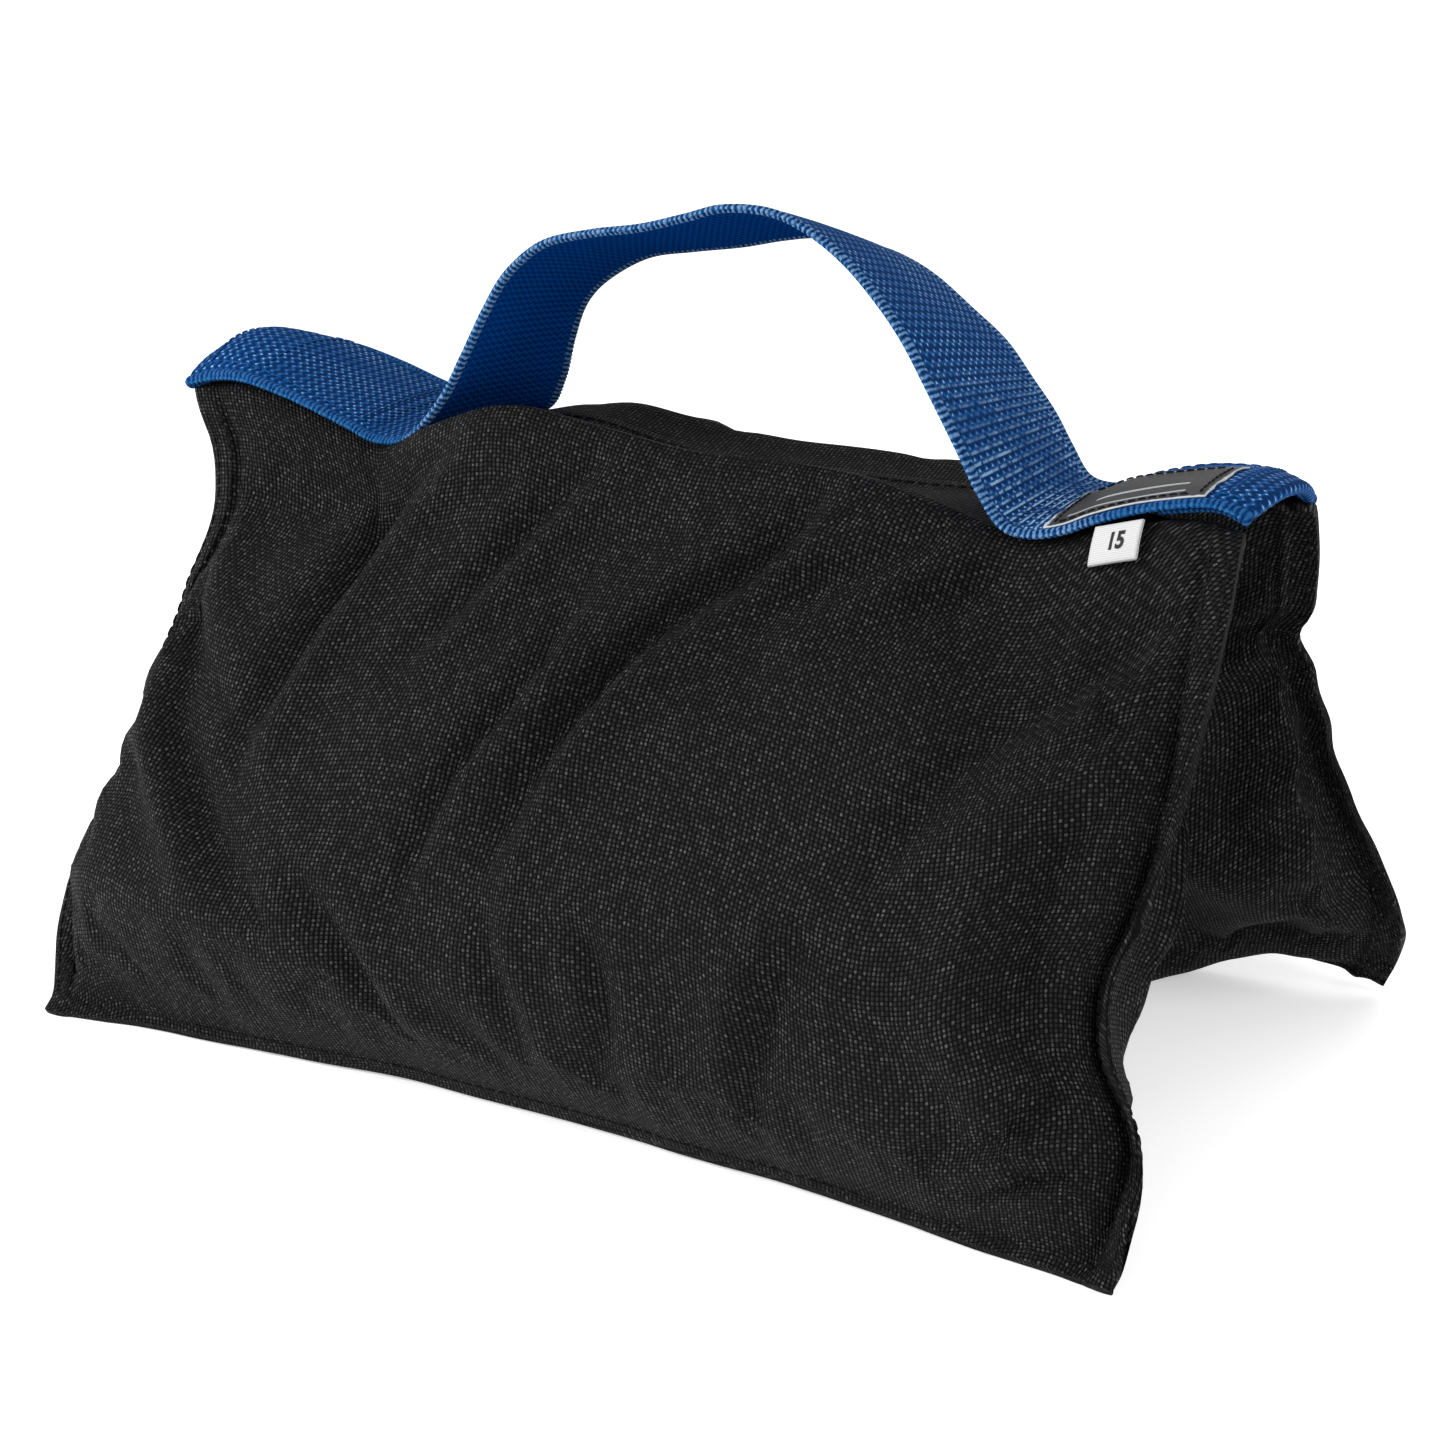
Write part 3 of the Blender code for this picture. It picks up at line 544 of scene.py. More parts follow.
def panel(name, outer):
    """Rows of points down one panel of a pouch, in millimetres, from the ridge to the bottom seam."""
    side = SIDE[name]
    us = columns()
    right, left = EDGES[name, 1], EDGES[name, -1]
    top_x = us * 143.5
    set_back = END_SET_BACK * smooth(us, 0.62, 1.0)
    crown, edge, hump = FABRIC_CROWN(top_x - set_back), EDGE_HEIGHT[name](top_x), HUMP(top_x)
    shoulder_out = SHOULDER_OUT(top_x) if name == "front" else 0.0 * top_x
    if name == "rear":
        hump = hump * 0.8
    fall = crown - edge
    controls = []
    foot_bow = 10.8 * (1.0 - us * us) + 1.6 * ripple(us * 3.1, 0 * us, 81) * (1.0 - us ** 4)
    lifted = 0.0 * us       # the bottom corners of the rear pouch stand off the floor a little
    if name == "rear":
        lifted = smooth(np.abs(us), 0.52, 0.84) * (6.6 - 3.4 * smooth(np.abs(us), 0.92, 1.0))
    skin, facing = (0.0, 1.0) if outer else (CLOTH, -1.0)
    over = LAP if name == "front" else -1.0
    lap_lift = 0.7 if name == "front" else -LAP_DROP
    top = ((-over, 0.10, 0.0, lap_lift), (-over / 2, 0.03, 0.0, lap_lift), (0.0, 0.0, 0.0, lap_lift))
    if name == "rear":
        top = ((1.0, 0.0, 0.0, lap_lift), (4.5, 0.05, 0.0, lap_lift))
    shoulder = ((8.0, 0.14, 0.4, 0.5 * lap_lift), (15.5, 0.48, 1.2, 0.0), (22.4, 1.0, 2.2, 0.0))
    for y, share, push, rise in top + shoulder:
        angle = math.radians(2.6 * y + (5.0 if y > 0 else 0.0))
        out = push * hump - skin
        far = y + out * math.sin(angle) + shoulder_out * (y / 22.4 if y > 0 else 0.0)
        controls.append((far, crown + rise - fall * share + out * math.cos(angle)))
    a = np.clip(np.abs(us) / SEAM_U, 0.0, 1.0)
    full = np.clip(1.0 - a ** (4.4 if outer else 12.0), 0.0, 1.0) ** (0.5 if outer else 0.45)
    ends = smooth(np.abs(us), 0.35, 0.86)
    lift = edge - HINGE_Z
    slants = [-24.0 - 4.0 * k for k in range(len(top), 0, -1)] + [-16.0, -8.0, 0.0]
    for r, outer_mid, outer_end, inner_mid, inner_end in BODY:
        if outer:
            bulge = (outer_mid + (outer_end - outer_mid) * ends) * full
            bulge = bulge + (hump * 4.6 + shoulder_out * 0.8) * math.exp(-((r - 8.0) / 17.0) ** 2)
            bulge = np.maximum(bulge, CLOTH / 2)
        else:
            inner_end = inner_end * (1.0 - 0.86 * smooth(r, 104.0, 146.0))
            bulge = -np.maximum((inner_mid + (inner_end - inner_mid) * ends) * full, CLOTH / 2)
            bulge = bulge + (hump * 4.6 + shoulder_out * 0.8) * math.exp(-((r - 8.0) / 12.0) ** 2)
        fade = math.exp(-(r / 34.0) ** 2)
        bow = foot_bow * (r / SLANT) ** 3
        shift = SEAM_SHIFT * smooth(np.abs(us), 0.55, 0.95) * math.sin(math.pi * min(1.0, r / 158)) ** 2
        y = HINGE_Y + r * SIN_T + (bulge + shift) * COS_T - bow
        z = HINGE_Z - r * COS_T + (bulge + shift) * SIN_T + lift * fade
        z = z + lifted * smooth(r, 118.0, 158.0)
        controls.append((y, z))
        slants.append(r)
    raised = 1.2 * (1.0 - us ** 4) + lifted
    controls.append((FOOT_Y - foot_bow, raised + (CLOTH if outer else 0.2)))
    slants.append(SLANT)
    controls = np.array([np.stack([np.broadcast_to(y, us.shape), z], -1) for y, z in controls])
    params = row_params(controls[:, len(us) // 2 - 20])
    weights = catmull(len(controls), params)
    yz = np.einsum("rk,kcd->rcd", weights, controls)
    r_of = weights @ np.array(slants)
    turned = {end: np.radians(FLANGE_TURN[name, end](r_of))[:, None] for end in (1, -1)}
    reach = {1: right(r_of)[:, None], -1: left(r_of)[:, None]}
    seam = {end: reach[end] - FLANGE * np.cos(turned[end]) for end in (1, -1)}
    body = np.clip(us, -SEAM_U, SEAM_U) / SEAM_U
    x = np.where(us > 0, body * seam[1], body * seam[-1])
    join = smooth(np.abs(us), 0.0, 0.25)
    x = x * join + body * (seam[1] + seam[-1]) / 2 * (1 - join)
    between = (1.0 - smooth(np.abs(yz[:, :, 0]), 7.0, 22.0)) * smooth(-r_of, -2.0, 10.0)[:, None]
    x = x - set_back * between
    if not outer:           # the inner panel swells out past the seam before it turns in
        near = 1.0 - a
        swell = smooth(near, 0.0, 0.07) * (1.0 - smooth(near, 0.10, 0.50))
        x = x + np.sign(us) * 12.0 * swell * SWELL(r_of)[:, None]
    out = FLANGE * np.clip((np.abs(us) - SEAM_U) / (1.0 - SEAM_U), 0.0, 1.0)
    turn = np.where(us > 0, turned[1], turned[-1])
    x = x + np.sign(us) * out * np.cos(turn)
    x = x + 0.5 * ripple(r_of[:, None] / 24.0, 0 * x + side, 5 if side < 0 else 6) * smooth(
        np.abs(us), 0.8, 0.96) * smooth(r_of[:, None], 20, 60)
    y = yz[:, :, 0] + out * np.sin(turn) * COS_T
    z = yz[:, :, 1] + out * np.sin(turn) * SIN_T
    thick = facing * (CLOTH / 2) * smooth(out, 0.0, 2.0)
    x = x - np.sign(us) * thick * np.sin(turn)
    y = y - thick * (1 - np.cos(turn)) * COS_T
    points = np.stack([x, side * y, z], -1)
    return points, r_of


def row_params(section):
    """Spline parameters that give even steps down the section."""
    fine = np.linspace(0, len(section) - 1, 700)
    line = catmull(len(section), fine) @ section
    run = run_along(line)
    return np.interp(np.linspace(0, run[-1], ROWS), run, fine)


def fold_push(points, folds):
    """How far folds push each point in or out: a valley with a crest along one side of it."""
    x, z = points[..., 0], points[..., 2]
    push = np.zeros_like(x)
    for depth, width, crest, *line in folds:
        line = np.array(line, float)
        path = catmull(len(line), np.linspace(0, len(line) - 1, 40)) @ line
        start, step = path[:-1], np.diff(path, axis=0)
        dx, dz = x[..., None] - start[:, 0], z[..., None] - start[:, 1]
        t = np.clip((dx * step[:, 0] + dz * step[:, 1]) / (step ** 2).sum(1), 0.0, 1.0)
        away = np.hypot(dx - t * step[:, 0], dz - t * step[:, 1])
        nearest = away.argmin(-1)
        pick = np.take_along_axis
        distance = pick(away, nearest[..., None], -1)[..., 0]
        cross = step[:, 0] * dz - step[:, 1] * dx
        distance = distance * np.sign(pick(cross, nearest[..., None], -1)[..., 0])
        place = (nearest + pick(t, nearest[..., None], -1)[..., 0]) / len(step)
        taper = np.sin(math.pi * np.clip(place * 0.86 + 0.09, 0, 1)) ** 0.8
        taper = taper * np.where((place <= 0.0) | (place >= 1.0), 0.6, 1.0)
        width = width * 0.82
        valley = -1.45 * np.exp(-np.abs(distance / width) ** 1.7)
        ridge = 0.95 * np.exp(-((distance - crest * 1.7 * width) / (1.15 * width)) ** 2)
        push += depth * taper * (valley + ridge)
    return push


def shape_cloth(name, outer):
    """A panel with its folds and puckers."""
    points, r_of = panel(name, outer)
    side = SIDE[name]
    us = columns()
    normal = np.array([0.0, side * COS_T, SIN_T]) * (1.0 if outer else -1.0)
    x, z = points[..., 0], points[..., 2]
    down = r_of[:, None] + 0.0 * x
    seam = smooth(SEAM_U - np.abs(us), 0.0, 0.10)[None, :]
    inside = seam * smooth(SLANT - down, 4.0, 22.0) * smooth(down, -14.0, 10.0)
    under_strap = smooth(np.abs(x - 4.0), 74.0, 92.0)
    inside = inside * (1.0 - under_strap * (1.0 - smooth(down, 4.0, 22.0)))
    folds = FOLDS[name] if outer else FOLDS["rear" if name == "front" else "front"]
    push = fold_push(points, folds) * (1.0 if outer else 0.45)
    push += 0.9 * ripple(x / 70.0, z / 55.0, 11 if outer else 12)
    push += 0.35 * ripple(x / 24.0, z / 21.0, 21 if outer else 22)
    push = push * inside
    pucker = np.exp(-((np.abs(us) - SEAM_U) / 0.028) ** 2)[None, :] * smooth(down, 22.0, 60.0)
    push += 0.75 * pucker * ripple(down / 9.0, 0 * x + us[None, :] * 2, 31)
    push += 0.40 * pucker * ripple(down / 4.2, 0 * x + np.sign(us)[None, :], 33)
    groove = np.exp(-((np.abs(us) - SEAM_U + 0.006) / 0.010) ** 2)[None, :] * smooth(down, -6.0, 12.0)
    place = np.clip((np.abs(us) - SEAM_U) / (1.0 - SEAM_U), 0.0, 1.0)
    bead = np.sin(math.pi * place ** 0.8)[None, :] * smooth(down, -6.0, 12.0)
    if outer:
        push += 0.75 * bead - 1.6 * groove * smooth(SLANT - down, 4.0, 20.0)
    hem = np.exp(-((SLANT - 7.0 - down) / 6.0) ** 2) * smooth(1.0 - np.abs(us), 0.0, 0.06)[None, :]
    push += 0.7 * hem * ripple(x / 13.0, 0 * x, 41)
    points = points + push[..., None] * normal
    wave = smooth(np.abs(us), SEAM_U - 0.03, 1.0)[None, :] * smooth(down, 24.0, 70.0)
    points[..., 1] += side * 2.0 * wave * ripple(down / 27.0, np.sign(us)[None, :] + 0 * x, 51)
    return points, r_of


def simulate(points, pinned, name):
    """Let the cloth settle a little with slack in it, and return how far each point moved (mm)."""
    rows, cols = points.shape[:2]
    mesh = mesh_from(name, points.reshape(-1, 3) * MM, grid_faces(rows, cols))
    obj = bpy.data.objects.new(name, mesh)
    bpy.context.scene.collection.objects.link(obj)
    group = obj.vertex_groups.new(name="pin")
    for index, weight in enumerate(pinned.ravel()):
        if weight > 0.01:
            group.add([index], float(weight), "REPLACE")
    modifier = obj.modifiers.new("cloth", "CLOTH")
    cloth = modifier.settings
    cloth.quality = 6
    cloth.mass = 0.25
    cloth.tension_stiffness = cloth.compression_stiffness = 18.0
    cloth.shear_stiffness = 6.0
    cloth.bending_stiffness = 3.5
    cloth.tension_damping = cloth.compression_damping = cloth.shear_damping = 12.0
    cloth.bending_damping = 1.0
    cloth.air_damping = 2.0
    cloth.vertex_group_mass = "pin"
    cloth.pin_stiffness = 1.0
    cloth.shrink_min = -0.035
    cloth.effector_weights.gravity = 0.0
    modifier.collision_settings.use_collision = False
    modifier.collision_settings.use_self_collision = False
    scene = bpy.context.scene
    for number in range(1, 19):
        scene.frame_set(number)
    settled = obj.evaluated_get(bpy.context.evaluated_depsgraph_get())
    co = np.zeros(rows * cols * 3, np.float32)
    settled.to_mesh().vertices.foreach_get("co", co)
    settled.to_mesh_clear()
    scene.frame_set(1)
    bpy.data.objects.remove(obj)
    bpy.data.meshes.remove(mesh)
    return co.reshape(rows, cols, 3) / MM - points


def settled_panel(name, outer):
    points, r_of = shape_cloth(name, outer)
    us = columns()
    down = r_of[:, None] + 0.0 * points[..., 0]
    free = smooth(SEAM_U - np.abs(us), 0.004, 0.05)[None, :]
    free = free * smooth(SLANT - down, 5.0, 16.0) * smooth(down, 2.0, 20.0)
    if not outer:
        free = free * smooth(points[..., 2], 1.0, 8.0)
    move = simulate(points, 1.0 - free, f"{name}_sim")
    length = np.linalg.norm(move, axis=2, keepdims=True)
    cap = 4.0 if outer else 3.0
    points = points + move * np.minimum(1.0, cap / np.maximum(length, 1e-6)) * free[..., None]
    points[..., 2] = np.maximum(points[..., 2], 0.25 if not outer else 0.6)
    return points, r_of


def evened(lengths, axis, spread=7.0):
    """Arc lengths with the steps of neighbouring lines evened out."""
    steps = np.diff(lengths, axis=axis, prepend=0.0)
    count = lengths.shape[1 - axis]
    near = np.subtract.outer(np.arange(count), np.arange(count)) / spread
    weights = np.exp(-0.5 * near ** 2)
    weights /= weights.sum(1, keepdims=True)
    steps = weights @ steps if axis == 1 else steps @ weights.T
    return np.cumsum(steps, axis=axis)


def build_pouch(name, material):
    """One pouch as a closed form: outer panel, inner panel, flanges and the flap over the ridge."""
    outer, r_of = settled_panel(name, True)
    inner, _ = settled_panel(name, False)
    side = SIDE[name]
    slope = np.array([0.0, side * COS_T, SIN_T])
    room = ((outer - inner) * slope).sum(2, keepdims=True)
    inner = inner - np.maximum(0.0, CLOTH - room) * slope
    inner[..., 2] = np.maximum(inner[..., 2], 0.2)
    uvs = []
    for part in (outer, inner):
        along = evened(arc_lengths(part, 1), 1)
        along = along - along[:, part.shape[1] // 2][:, None]
        uvs.append(np.stack([along, evened(arc_lengths(part, 0), 0)], -1))
    cover = closed_piece(f"{name}_pouch_cover", outer, inner, *uvs, material)
    return cover, outer, inner, r_of


# ---- strap, label, tag, threads ----
def build_strap(materials):
    """The webbing in one length: folded end, left run, handle, right run, folded end."""
    rows = strap_rows()
    vs = np.linspace(-1.0, 1.0, 71)
    half_thick = STRAP_THICK / 2
    edge = np.abs(vs)
    groove = 0.30 * np.exp(-((edge - 0.885) / 0.016) ** 2)
    bead = 0.26 * np.exp(-((edge - 0.955) / 0.040) ** 2)
    field = 1.0 - smooth(edge, 0.845, 0.875)
    column = vs * WIDTH / 2 / RIB_COLUMN
    stagger = np.abs((column + 1.0) % 2.0 - 1.0) * 0.5
    tops, bottoms, uvs = [], [], []
    for row, turn, run in rows:
        rib = 0.5 + 0.5 * np.cos(2 * math.pi * (run / RIB_PITCH + stagger))
        fine = 0.5 + 0.5 * np.cos(2 * math.pi * (run / UNDER_PITCH + stagger))
        closing = np.sqrt(np.clip(1.0 - np.clip((edge - 0.955) / 0.045, 0, 1) ** 2, 0.0, 1.0))
        high = (half_thick + bead - groove + 0.17 * (rib - 0.5) * field) * closing
        low = (half_thick + bead - groove + 0.06 * (fine - 0.5) * field) * closing
        under = math.pi <= abs(turn)       # the folded part narrows away from the fold
        folded = min(abs(run - rows[0][2]), abs(run - rows[-1][2])) / HEM if under else 1.0
        across = vs * (1.0 - 0.05 * min(1.0, abs(turn) / math.pi) - 0.09 * (1.0 - folded) * under)
        tops.append(strap_point(row, across, high, turn))
        bottoms.append(strap_point(row, across, -low, turn))
        uvs.append(np.stack([np.full_like(vs, run), vs * WIDTH / 2], -1))
    obj = closed_piece("webbing_strap", tops, bottoms, uvs, uvs, materials["webbing"])
    mesh, count, cols = obj.data, len(rows), len(vs)
    for extra in ("webbing_under", "selvage"):
        mesh.materials.append(materials[extra])
    top_faces = (count - 1) * (cols - 1)
    index = np.zeros(len(mesh.polygons), np.int32)
    face_col = np.tile(np.arange(cols - 1), count - 1)
    rim = np.abs(vs[face_col] + 1.0 / 70) > 0.885
    index[:top_faces] = np.where(rim, 2, 0)
    index[top_faces:2 * top_faces] = np.where(rim, 2, 1)
    index[2 * top_faces:] = 2
    mesh.polygons.foreach_set("material_index", index)
    return obj, rows


def build_selvage(rows, material):
    """The looped edge of the webbing: a thin cord of loops along each side."""
    spine = [(row, turn, run) for row, turn, run in rows if turn == 0.0]
    runs = np.array([run for _, _, run in spine])
    data = np.array([row for row, _, _ in spine])
    dense = np.arange(runs[0], runs[-1], 0.18)
    data = np.stack([np.interp(dense, runs, data[:, k]) for k in range(7)], 1)
    ring = np.linspace(0, 2 * math.pi, 7)[:-1]
    verts, faces, uvs = [], [], []
    for side in (-1.0, 1.0):
        base = len(verts)
        for row, run in zip(data, dense):
            swell = 0.62 + 0.22 * math.sin(2 * math.pi * run / 1.15 + side)
            for angle in ring + 0.5 * math.sin(2 * math.pi * run / 1.15):
                v = side * (1.0 - 0.004 + 0.024 * swell * math.cos(angle))
                point = strap_point(row, np.array(v), swell * 0.78 * math.sin(angle))
                verts.append(point)
                uvs.append((run, v * WIDTH / 2))
        faces += tube_faces(base, len(dense), len(ring))
    mesh = mesh_from("strap_selvage", np.array(verts) * MM, faces, np.array(uvs) * MM)
    return link("strap_selvage", flip_if_inside_out(mesh), material)


class Threads:
    """Collects short thread stitches into one mesh."""

    def __init__(self):
        self.verts, self.faces = [], []

    def stitch(self, start, end, radius, arch=0.0, up=(0, 0, 1), sides=6):
        start, end, up = Vector(start), Vector(end), Vector(up).normalized()
        along = (end - start).normalized()
        across = along.cross(up).normalized()
        up = across.cross(along)
        base = len(self.verts)
        places = ((0.0, 0.35), (0.07, 0.85), (0.3, 1.0), (0.7, 1.0), (0.93, 0.85), (1.0, 0.35))
        for t, swell in places:
            centre = start.lerp(end, t) + up * arch * math.sin(math.pi * t)
            for k in range(sides):
                a = 2 * math.pi * k / sides
                self.verts.append(centre + (across * math.cos(a) + up * math.sin(a)) * radius * swell)
        self.faces += tube_faces(base, len(places), sides)

    def row(self, line, normals, length, gap, radius, arch=0.12):
        """Stitches along a line of points (mm), each lying on the surface."""
        line = np.array(line, float)
        run = run_along(line)
        normals = np.array(normals, float)
        place = gap
        while place + length < run[-1]:
            ends = [np.array([np.interp(p, run, line[:, k]) for k in range(3)])
                    for p in (place, place + length)]
            up = np.array([np.interp(place + length / 2, run, normals[:, k]) for k in range(3)])
            self.stitch(ends[0], ends[1], radius, arch, up)
            place += length + gap

    def build(self, name, material):
        mesh = mesh_from(name, np.array([tuple(v) for v in self.verts]) * MM, self.faces)
        return link(name, flip_if_inside_out(mesh), material)


def grid_normals(points, side):
    along = np.gradient(points, axis=1)
    down = np.gradient(points, axis=0)
    normal = np.cross(along, down)
    normal /= np.maximum(np.linalg.norm(normal, axis=2, keepdims=True), 1e-9)
    sign = np.sign((normal * np.array([0.0, side * COS_T, SIN_T])).sum(2, keepdims=True))
    return normal * np.where(sign == 0, 1, sign)


def column_line(grid, us, u):
    """The line of points down a panel at u."""
    i = int(np.clip(np.searchsorted(us, u) - 1, 0, len(us) - 2))
    t = (u - us[i]) / (us[i + 1] - us[i])
    return grid[:, i] * (1 - t) + grid[:, i + 1] * t


def pouch_threads(name, outer, inner, r_of, material):
    side = SIDE[name]
    us = columns()
    threads = Threads()
    normals = grid_normals(outer, side)
    back_normals = -grid_normals(inner, side)
    shown = r_of > 5.0
    for grid, normal in ((outer, normals), (inner, back_normals)):
        for end in (-1, 1):
            for inset in (2.0, 6.2):
                u = end * (1.0 - inset / HALF_LENGTH)
                line = column_line(grid, us, u) + 0.10 * column_line(normal, us, u)
                keep = shown & (r_of < 158.0)
                threads.row(line[keep], column_line(normal, us, u)[keep], 2.7, 0.75, 0.30)
        inside = np.abs(us) < 0.985
        row_index = int(np.searchsorted(r_of, SLANT - 3.2))
        if grid is outer:
            line = grid[row_index] + 0.10 * normal[row_index]
            threads.row(line[inside], normal[row_index][inside], 2.7, 0.75, 0.24)
    for end in (-1, 1):
        for k in range(9):
            r = SLANT - 13.0 + 1.1 * k
            row_index = int(np.searchsorted(r_of, r))
            t = (r - r_of[row_index - 1]) / (r_of[row_index] - r_of[row_index - 1])
            ends = []
            for inset in (1.6, 6.0):
                u = end * (1.0 - inset / HALF_LENGTH)
                line = column_line(outer, us, u) + 0.15 * column_line(normals, us, u)
                ends.append(line[row_index - 1] * (1 - t) + line[row_index] * t)
            threads.stitch(ends[0], ends[1], 0.30, 0.1, (0, side * COS_T, SIN_T))
    return threads.build(f"{name}_pouch_threads", material)


def spine_at(rows, x):
    """The strap's spine where it first passes x, going out from the middle of the bag."""
    data = np.array([row for row, turn, _ in rows if turn == 0.0])
    order = np.argsort(data[:, 0])
    return np.array([np.interp(x, data[order, 0], data[order, k]) for k in range(7)])


def sew_on_strap(threads, rows, points, lift, *sizes):
    """A row of stitches through (x, v) points on the strap."""
    spots = [(spine_at(rows, x), np.array(v)) for x, v in points]
    line, above = (np.array([strap_point(row, v, high) for row, v in spots])
                   for high in (lift, lift + 1.0))
    threads.row(line, above - line, *sizes)


def strap_threads(rows, material):
    """Blue stitches: along both edges of the two runs, across the hems and at the handle's ends."""
    threads = Threads()
    lift = STRAP_THICK / 2 + 0.16
    for x_from, x_to in ((-141.5, -90.0), (141.5, 99.0)):
        for v in (-0.80, 0.80):
            points = [(x, v) for x in np.linspace(x_from, x_to, 40)]
            sew_on_strap(threads, rows, points, lift, 2.6, 0.8, 0.26)
    for x in (-138.5, -123.5, 138.0, -88.5, -92.5, 97.0):
        points = [(x, v) for v in np.linspace(-0.78, 0.78, 40)]
        sew_on_strap(threads, rows, points, lift, 2.3, 0.7, 0.28)
    return threads.build("strap_threads", material)


def build_label(rows, material):
    """A thin woven label over the front half of the right run; its cut edges are a little frayed."""
    xs = np.linspace(97.5, 134.5, 75)
    vs = np.linspace(-0.905, 0.18, 57)
    top, low, uvs = [], [], []
    for i, x in enumerate(xs):
        row = spine_at(rows, x)
        lift = STRAP_THICK / 2 + 0.20 + 0.10 * np.sin(vs * 9.0 + x / 5.0)
        fray = 0.25 * ripple(vs * 5.0, np.full_like(vs, x / 9.0), 71)
        line = strap_point(row, vs, lift + 0.30)
        back = strap_point(row, vs, lift - 0.06)
        if i in (0, len(xs) - 1):
            line[:, 0] += fray
            back[:, 0] += fray
        top.append(line)
        low.append(back)
        uvs.append(np.stack([np.full_like(vs, x - xs[0]), (vs - vs[0]) * WIDTH / 2], -1))
    return closed_piece("woven_label", top, low, uvs, uvs, material)


def label_threads(rows, material):
    """Black stitches just inside the four edges of the label."""
    threads = Threads()
    low, high = -0.84, 0.13
    across, along = np.linspace(low, high, 30), np.linspace(100, 132, 30)
    for points in ([(132.6, v) for v in across], [(99.4, v) for v in across],
                   [(x, 0.12) for x in along], [(x, low) for x in along]):
        sew_on_strap(threads, rows, points, STRAP_THICK / 2 + 0.66, 1.9, 0.6, 0.24)
    return threads.build("label_threads", material)


def build_tag(material, ink):
    """A satin strip folded in two and sewn in under the front edge of the strap, with its size."""
    top_left, top_right = Vector((110.7, -24.8, 149.5)), Vector((121.9, -24.8, 152.9))
    down = Vector((0.0, -0.40, -0.917)).normalized()
    out = Vector((0.0, -0.917, 0.40)).normalized()
    length, width, depth, rows, cols, half = 9.0, 11.7, 0.9, 42, 16, 0.12

    def bend_at(t):
        return 0.55 * math.sin(math.pi * t * 0.9)

    path = []
    for k in range(rows + 1):
        place = k / rows * 2.0
        t = 1.0 - abs(1.0 - place)
        spread = depth / 2 * math.sqrt(max(0.0, 1.0 - max(0.0, (t - 0.94) / 0.06) ** 2))
        path.append((length * t, bend_at(t) + (spread if place <= 1.0 else -spread)))
    path = np.array(path)
    step = np.gradient(path, axis=0)
    facing = np.stack([-step[:, 1], step[:, 0]], 1)
    facing /= np.linalg.norm(facing, axis=1)[:, None]
    top, low = [], []
    for lift, store in ((half, top), (-half, low)):
        for along, high in path + facing * lift:
            row = []
            for j in range(cols + 1):
                s = j / cols
                base = top_left.lerp(top_right, s)
                wave = 0.35 * math.sin(3.2 * s + 0.4) * along / length
                row.append(tuple(base + down * along + out * (high + wave)))
            store.append(row)
    flat = [[(j / cols * width, k / rows * 2 * length) for j in range(cols + 1)]
            for k in range(rows + 1)]
    tag = closed_piece("folded_tag", top, low, flat, flat, material)
    text = bpy.data.curves.new("size_number", "FONT")
    text.body = "15"
    text.size = 5.4 * MM
    text.extrude = 0.03 * MM
    text.offset = 0.20 * MM
    text.align_x, text.align_y = "CENTER", "CENTER"
    holder = bpy.data.objects.new("size_number_text", text)
    bpy.context.scene.collection.objects.link(holder)
    mesh = bpy.data.meshes.new_from_object(holder.evaluated_get(bpy.context.evaluated_depsgraph_get()))
    bpy.data.objects.remove(holder)
    for vert in mesh.vertices:
        s = 0.52 + vert.co.x * 0.80 / (width * MM)
        along = length * 0.47 - vert.co.y / MM
        t = along / length
        wave = 0.35 * math.sin(3.2 * s + 0.4) * t
        high = bend_at(t) + depth / 2 + half + 0.09 + vert.co.z / MM
        base = top_left.lerp(top_right, s)
        vert.co = (base + down * along + out * (high + wave)) * MM
    number = link("size_number", mesh, ink)
    return tag, number


def ridge_threads(cover_points, material):
    """The row of stitches along the lap of the front flap, on the rear side of the ridge."""
    threads = Threads()
    line = cover_points[1] + np.array([0.0, 0.0, 0.12])
    inside = np.abs(line[:, 0]) < 141.0
    normals = np.tile([0.0, 0.3, 1.0], (int(inside.sum()), 1))
    threads.row(line[inside], normals, 2.7, 0.75, 0.25)
    return threads.build("ridge_threads", material)


# ---- materials ----
# nylon colours: gaps between yarns (painted shade), yarn crowns (painted light), then the painted glint
# colour
nylon = nylon_material("black_nylon", (0.0012, 0.0012, 0.0013), (0.0300, 0.0300, 0.0306),
                       (0.085, 0.085, 0.085))
# webbing colours: rib troughs (painted shade), rib crests, then pale for the float dots and the painted
# highlight lines on the right limb
webbing = webbing_material("blue_webbing", (0.0006, 0.018, 0.080), (0.0022, 0.056, 0.200),
                           (0.26, 0.42, 0.62), False)
webbing_under = webbing_material("blue_webbing_under", (0.0000, 0.018, 0.100),
                                 (0.0000, 0.044, 0.210), (0.02, 0.14, 0.38), True)
selvage = loop_material("selvage_yarn", (0.0008, 0.016, 0.075), (0.004, 0.066, 0.215), (0.18, 0.31, 0.47))
loops = loop_material("selvage_loops", (0.002, 0.040, 0.150), (0.010, 0.10, 0.26), (0.26, 0.36, 0.50))
black_thread = fibre_material("black_thread", (0.0015, 0.0015, 0.0015), (0.014, 0.014, 0.014))
blue_thread = fibre_material("blue_thread", (0.002, 0.030, 0.110), (0.008, 0.080, 0.260))
ink = fibre_material("tag_ink", (0.020, 0.020, 0.020), (0.035, 0.035, 0.035))


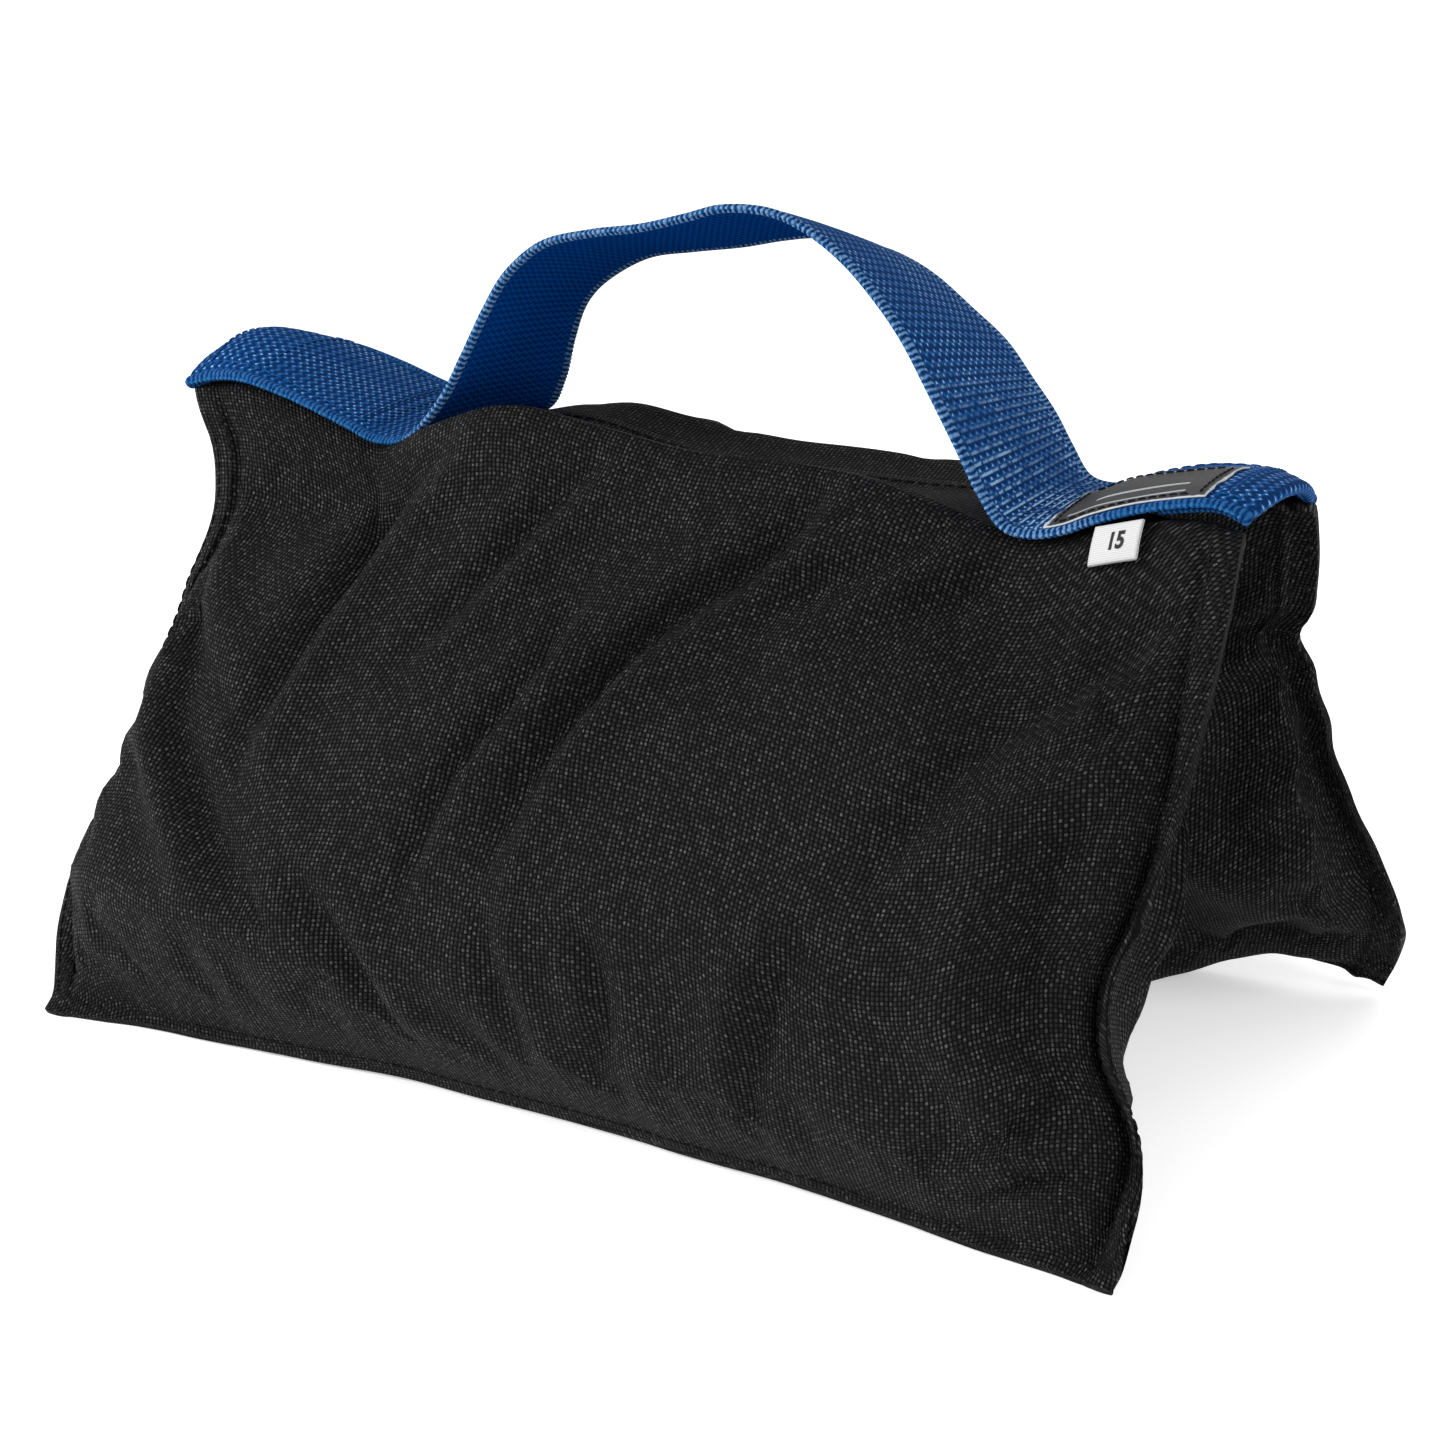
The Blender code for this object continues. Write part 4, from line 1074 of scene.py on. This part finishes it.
def label_material():
    n = Nodes("label_weave")
    u, v = n.uv()
    edge_u, edge_v = (n.math("MINIMUM", place, n.math("SUBTRACT", size, place))
                      for place, size in ((u, LABEL_SIZE[0]), (v, LABEL_SIZE[1])))
    edge = n.math("MINIMUM", edge_u, edge_v)
    ragged = n.math("MULTIPLY_ADD", n.noise(900.0, 3.0), 0.0011, edge)
    border = n.remap(ragged, 0.00075, 0.0013, 1.0, 0.0)
    weave = n.times(n.wave(u, LABEL_PITCH), n.wave(v, LABEL_PITCH))
    weave = n.math("MULTIPLY_ADD", weave, 0.5, 0.5)
    field = n.mix(weave, (0.018, 0.018, 0.019), (0.050, 0.050, 0.052))
    bars = None
    for low, high, left, right in ((0.0042, 0.0052, 0.004, 0.031), (0.0100, 0.0114, 0.009, 0.030)):
        inside = n.times(n.math("GREATER_THAN", v, low), n.math("LESS_THAN", v, high),
                         n.math("GREATER_THAN", u, left), n.math("LESS_THAN", u, right))
        bars = inside if bars is None else n.math("MAXIMUM", bars, inside)
    color = n.mix(n.times(bars, 0.8), field, (0.40, 0.41, 0.42))
    color = n.mix(border, color, (0.46, 0.48, 0.50))
    n.bump(weave, 0.00008, 0.7)
    return n.finish(color, 0.55, 0.12)


def tag_material():
    n = Nodes("tag_satin")
    rib = n.pulse(n.uv()[1], 0.0005)
    n.bump(rib, 0.00005, 0.6)
    return n.finish(n.mix(rib, (0.42, 0.42, 0.42), (0.53, 0.53, 0.53)), 0.5, 0.15)


# ---- build the pieces ----
FRONT_HINGE = ((0, -0.0228, 0.150), (0, -0.030, 0.130))
REAR_HINGE = ((0, 0.0228, 0.150), (0, 0.030, 0.130))
for name, (start, end) in (("front", FRONT_HINGE), ("rear", REAR_HINGE)):
    cover, outer, inner, r_of = build_pouch(name, nylon)
    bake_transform(cover)
    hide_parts(f"{name}_outer_panel", f"{name}_inner_panel", f"{name}_liner_bag",
                f"{name}_sand_fill")
    threads = pouch_threads(name, outer, inner, r_of, black_thread)
    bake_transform(threads)
    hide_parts(*[f"{name}_{kind}_{end_name}" for end_name in ("left", "right")
                           for kind in ("edge_stitch", "seam_stitch", "corner_tack")],
                f"{name}_bottom_stitch")
    if name == "front":
        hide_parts("saddle_bridge")
        ridge_sewing = ridge_threads(outer, black_thread)

strap, spine_rows = build_strap({"webbing": webbing, "webbing_under": webbing_under,
                                 "selvage": selvage})
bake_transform(strap)
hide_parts("strap_left_run", "strap_right_run", "strap_handle", "strap_hem_left",
            "strap_hem_right")
edging = build_selvage(spine_rows, loops)
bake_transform(edging)
sewing = strap_threads(spine_rows, blue_thread)
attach(sewing, "saddle")
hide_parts(*[f"{kind}_{end_name}" for end_name in ("left", "right")
                      for kind in ("ridge_stitch_front", "ridge_stitch_rear", "hem_stitch",
                                   "handle_tack")])
label = build_label(spine_rows, label_material())
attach(label, "saddle")
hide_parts("label_patch")
label_sewing = label_threads(spine_rows, black_thread)
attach(label_sewing, "saddle")
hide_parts("label_stitching")
tag, number = build_tag(tag_material(), ink)
for piece in (tag, number):
    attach(piece, "size_tag")
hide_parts("size_tag")
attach(ridge_sewing, "saddle")


# ---- floor, light, camera ----
def add_floor():
    mesh = bpy.data.meshes.new("floor")
    size = 24.0
    mesh.from_pydata([(-size, -size, 0), (size, -size, 0), (size, size, 0), (-size, size, 0)], [],
                     [(0, 1, 2, 3)])
    n = Nodes("floor_white")
    floor = link("floor", mesh, n.finish((0.90, 0.90, 0.90), 0.9, 0.0))
    n.shader.inputs["Emission Color"].default_value = (1.0, 1.0, 1.0, 1.0)
    n.shader.inputs["Emission Strength"].default_value = 0.42


def add_area(name, place, aim, size, power):
    light = bpy.data.lights.new(name, "AREA")
    light.shape = "RECTANGLE"
    light.size, light.size_y = size
    light.energy = power
    obj = bpy.data.objects.new(name, light)
    obj.location = place
    obj.rotation_euler = (Vector(aim) - Vector(place)).to_track_quat("-Z", "Y").to_euler()
    bpy.context.scene.collection.objects.link(obj)


def add_camera():
    azimuth, elevation, distance = math.radians(29.4), math.radians(19.3), 0.784
    target = Vector((0.0, 0.0032, 0.0762))
    back = Vector((math.sin(azimuth) * math.cos(elevation), -math.cos(azimuth) * math.cos(elevation),
                   math.sin(elevation)))
    data = bpy.data.cameras.new("camera")
    data.sensor_width = 36.0
    data.lens = 77.2
    data.clip_start = 0.01
    camera = bpy.data.objects.new("camera", data)
    camera.location = target + back * distance
    camera.rotation_euler = (-back).to_track_quat("-Z", "Y").to_euler()
    bpy.context.scene.collection.objects.link(camera)
    bpy.context.scene.camera = camera


add_floor()
add_camera()
add_area("key", (-0.85, -0.80, 0.70), (0.0, 0.0, 0.08), (0.55, 0.55), 17.0)
add_area("side", (0.95, -0.40, 0.85), (0.0, 0.0, 0.08), (0.5, 0.6), 5.0)
add_area("back", (0.25, 1.0, 0.8), (0.0, 0.0, 0.1), (0.8, 0.6), 3.0)
world = bpy.data.worlds.new("world")
world.use_nodes = True
background = world.node_tree.nodes["Background"]
background.inputs["Color"].default_value = (1.0, 1.0, 1.0, 1.0)
background.inputs["Strength"].default_value = 0.72
bpy.context.scene.world = world
bpy.context.scene.view_settings.view_transform = "Standard"
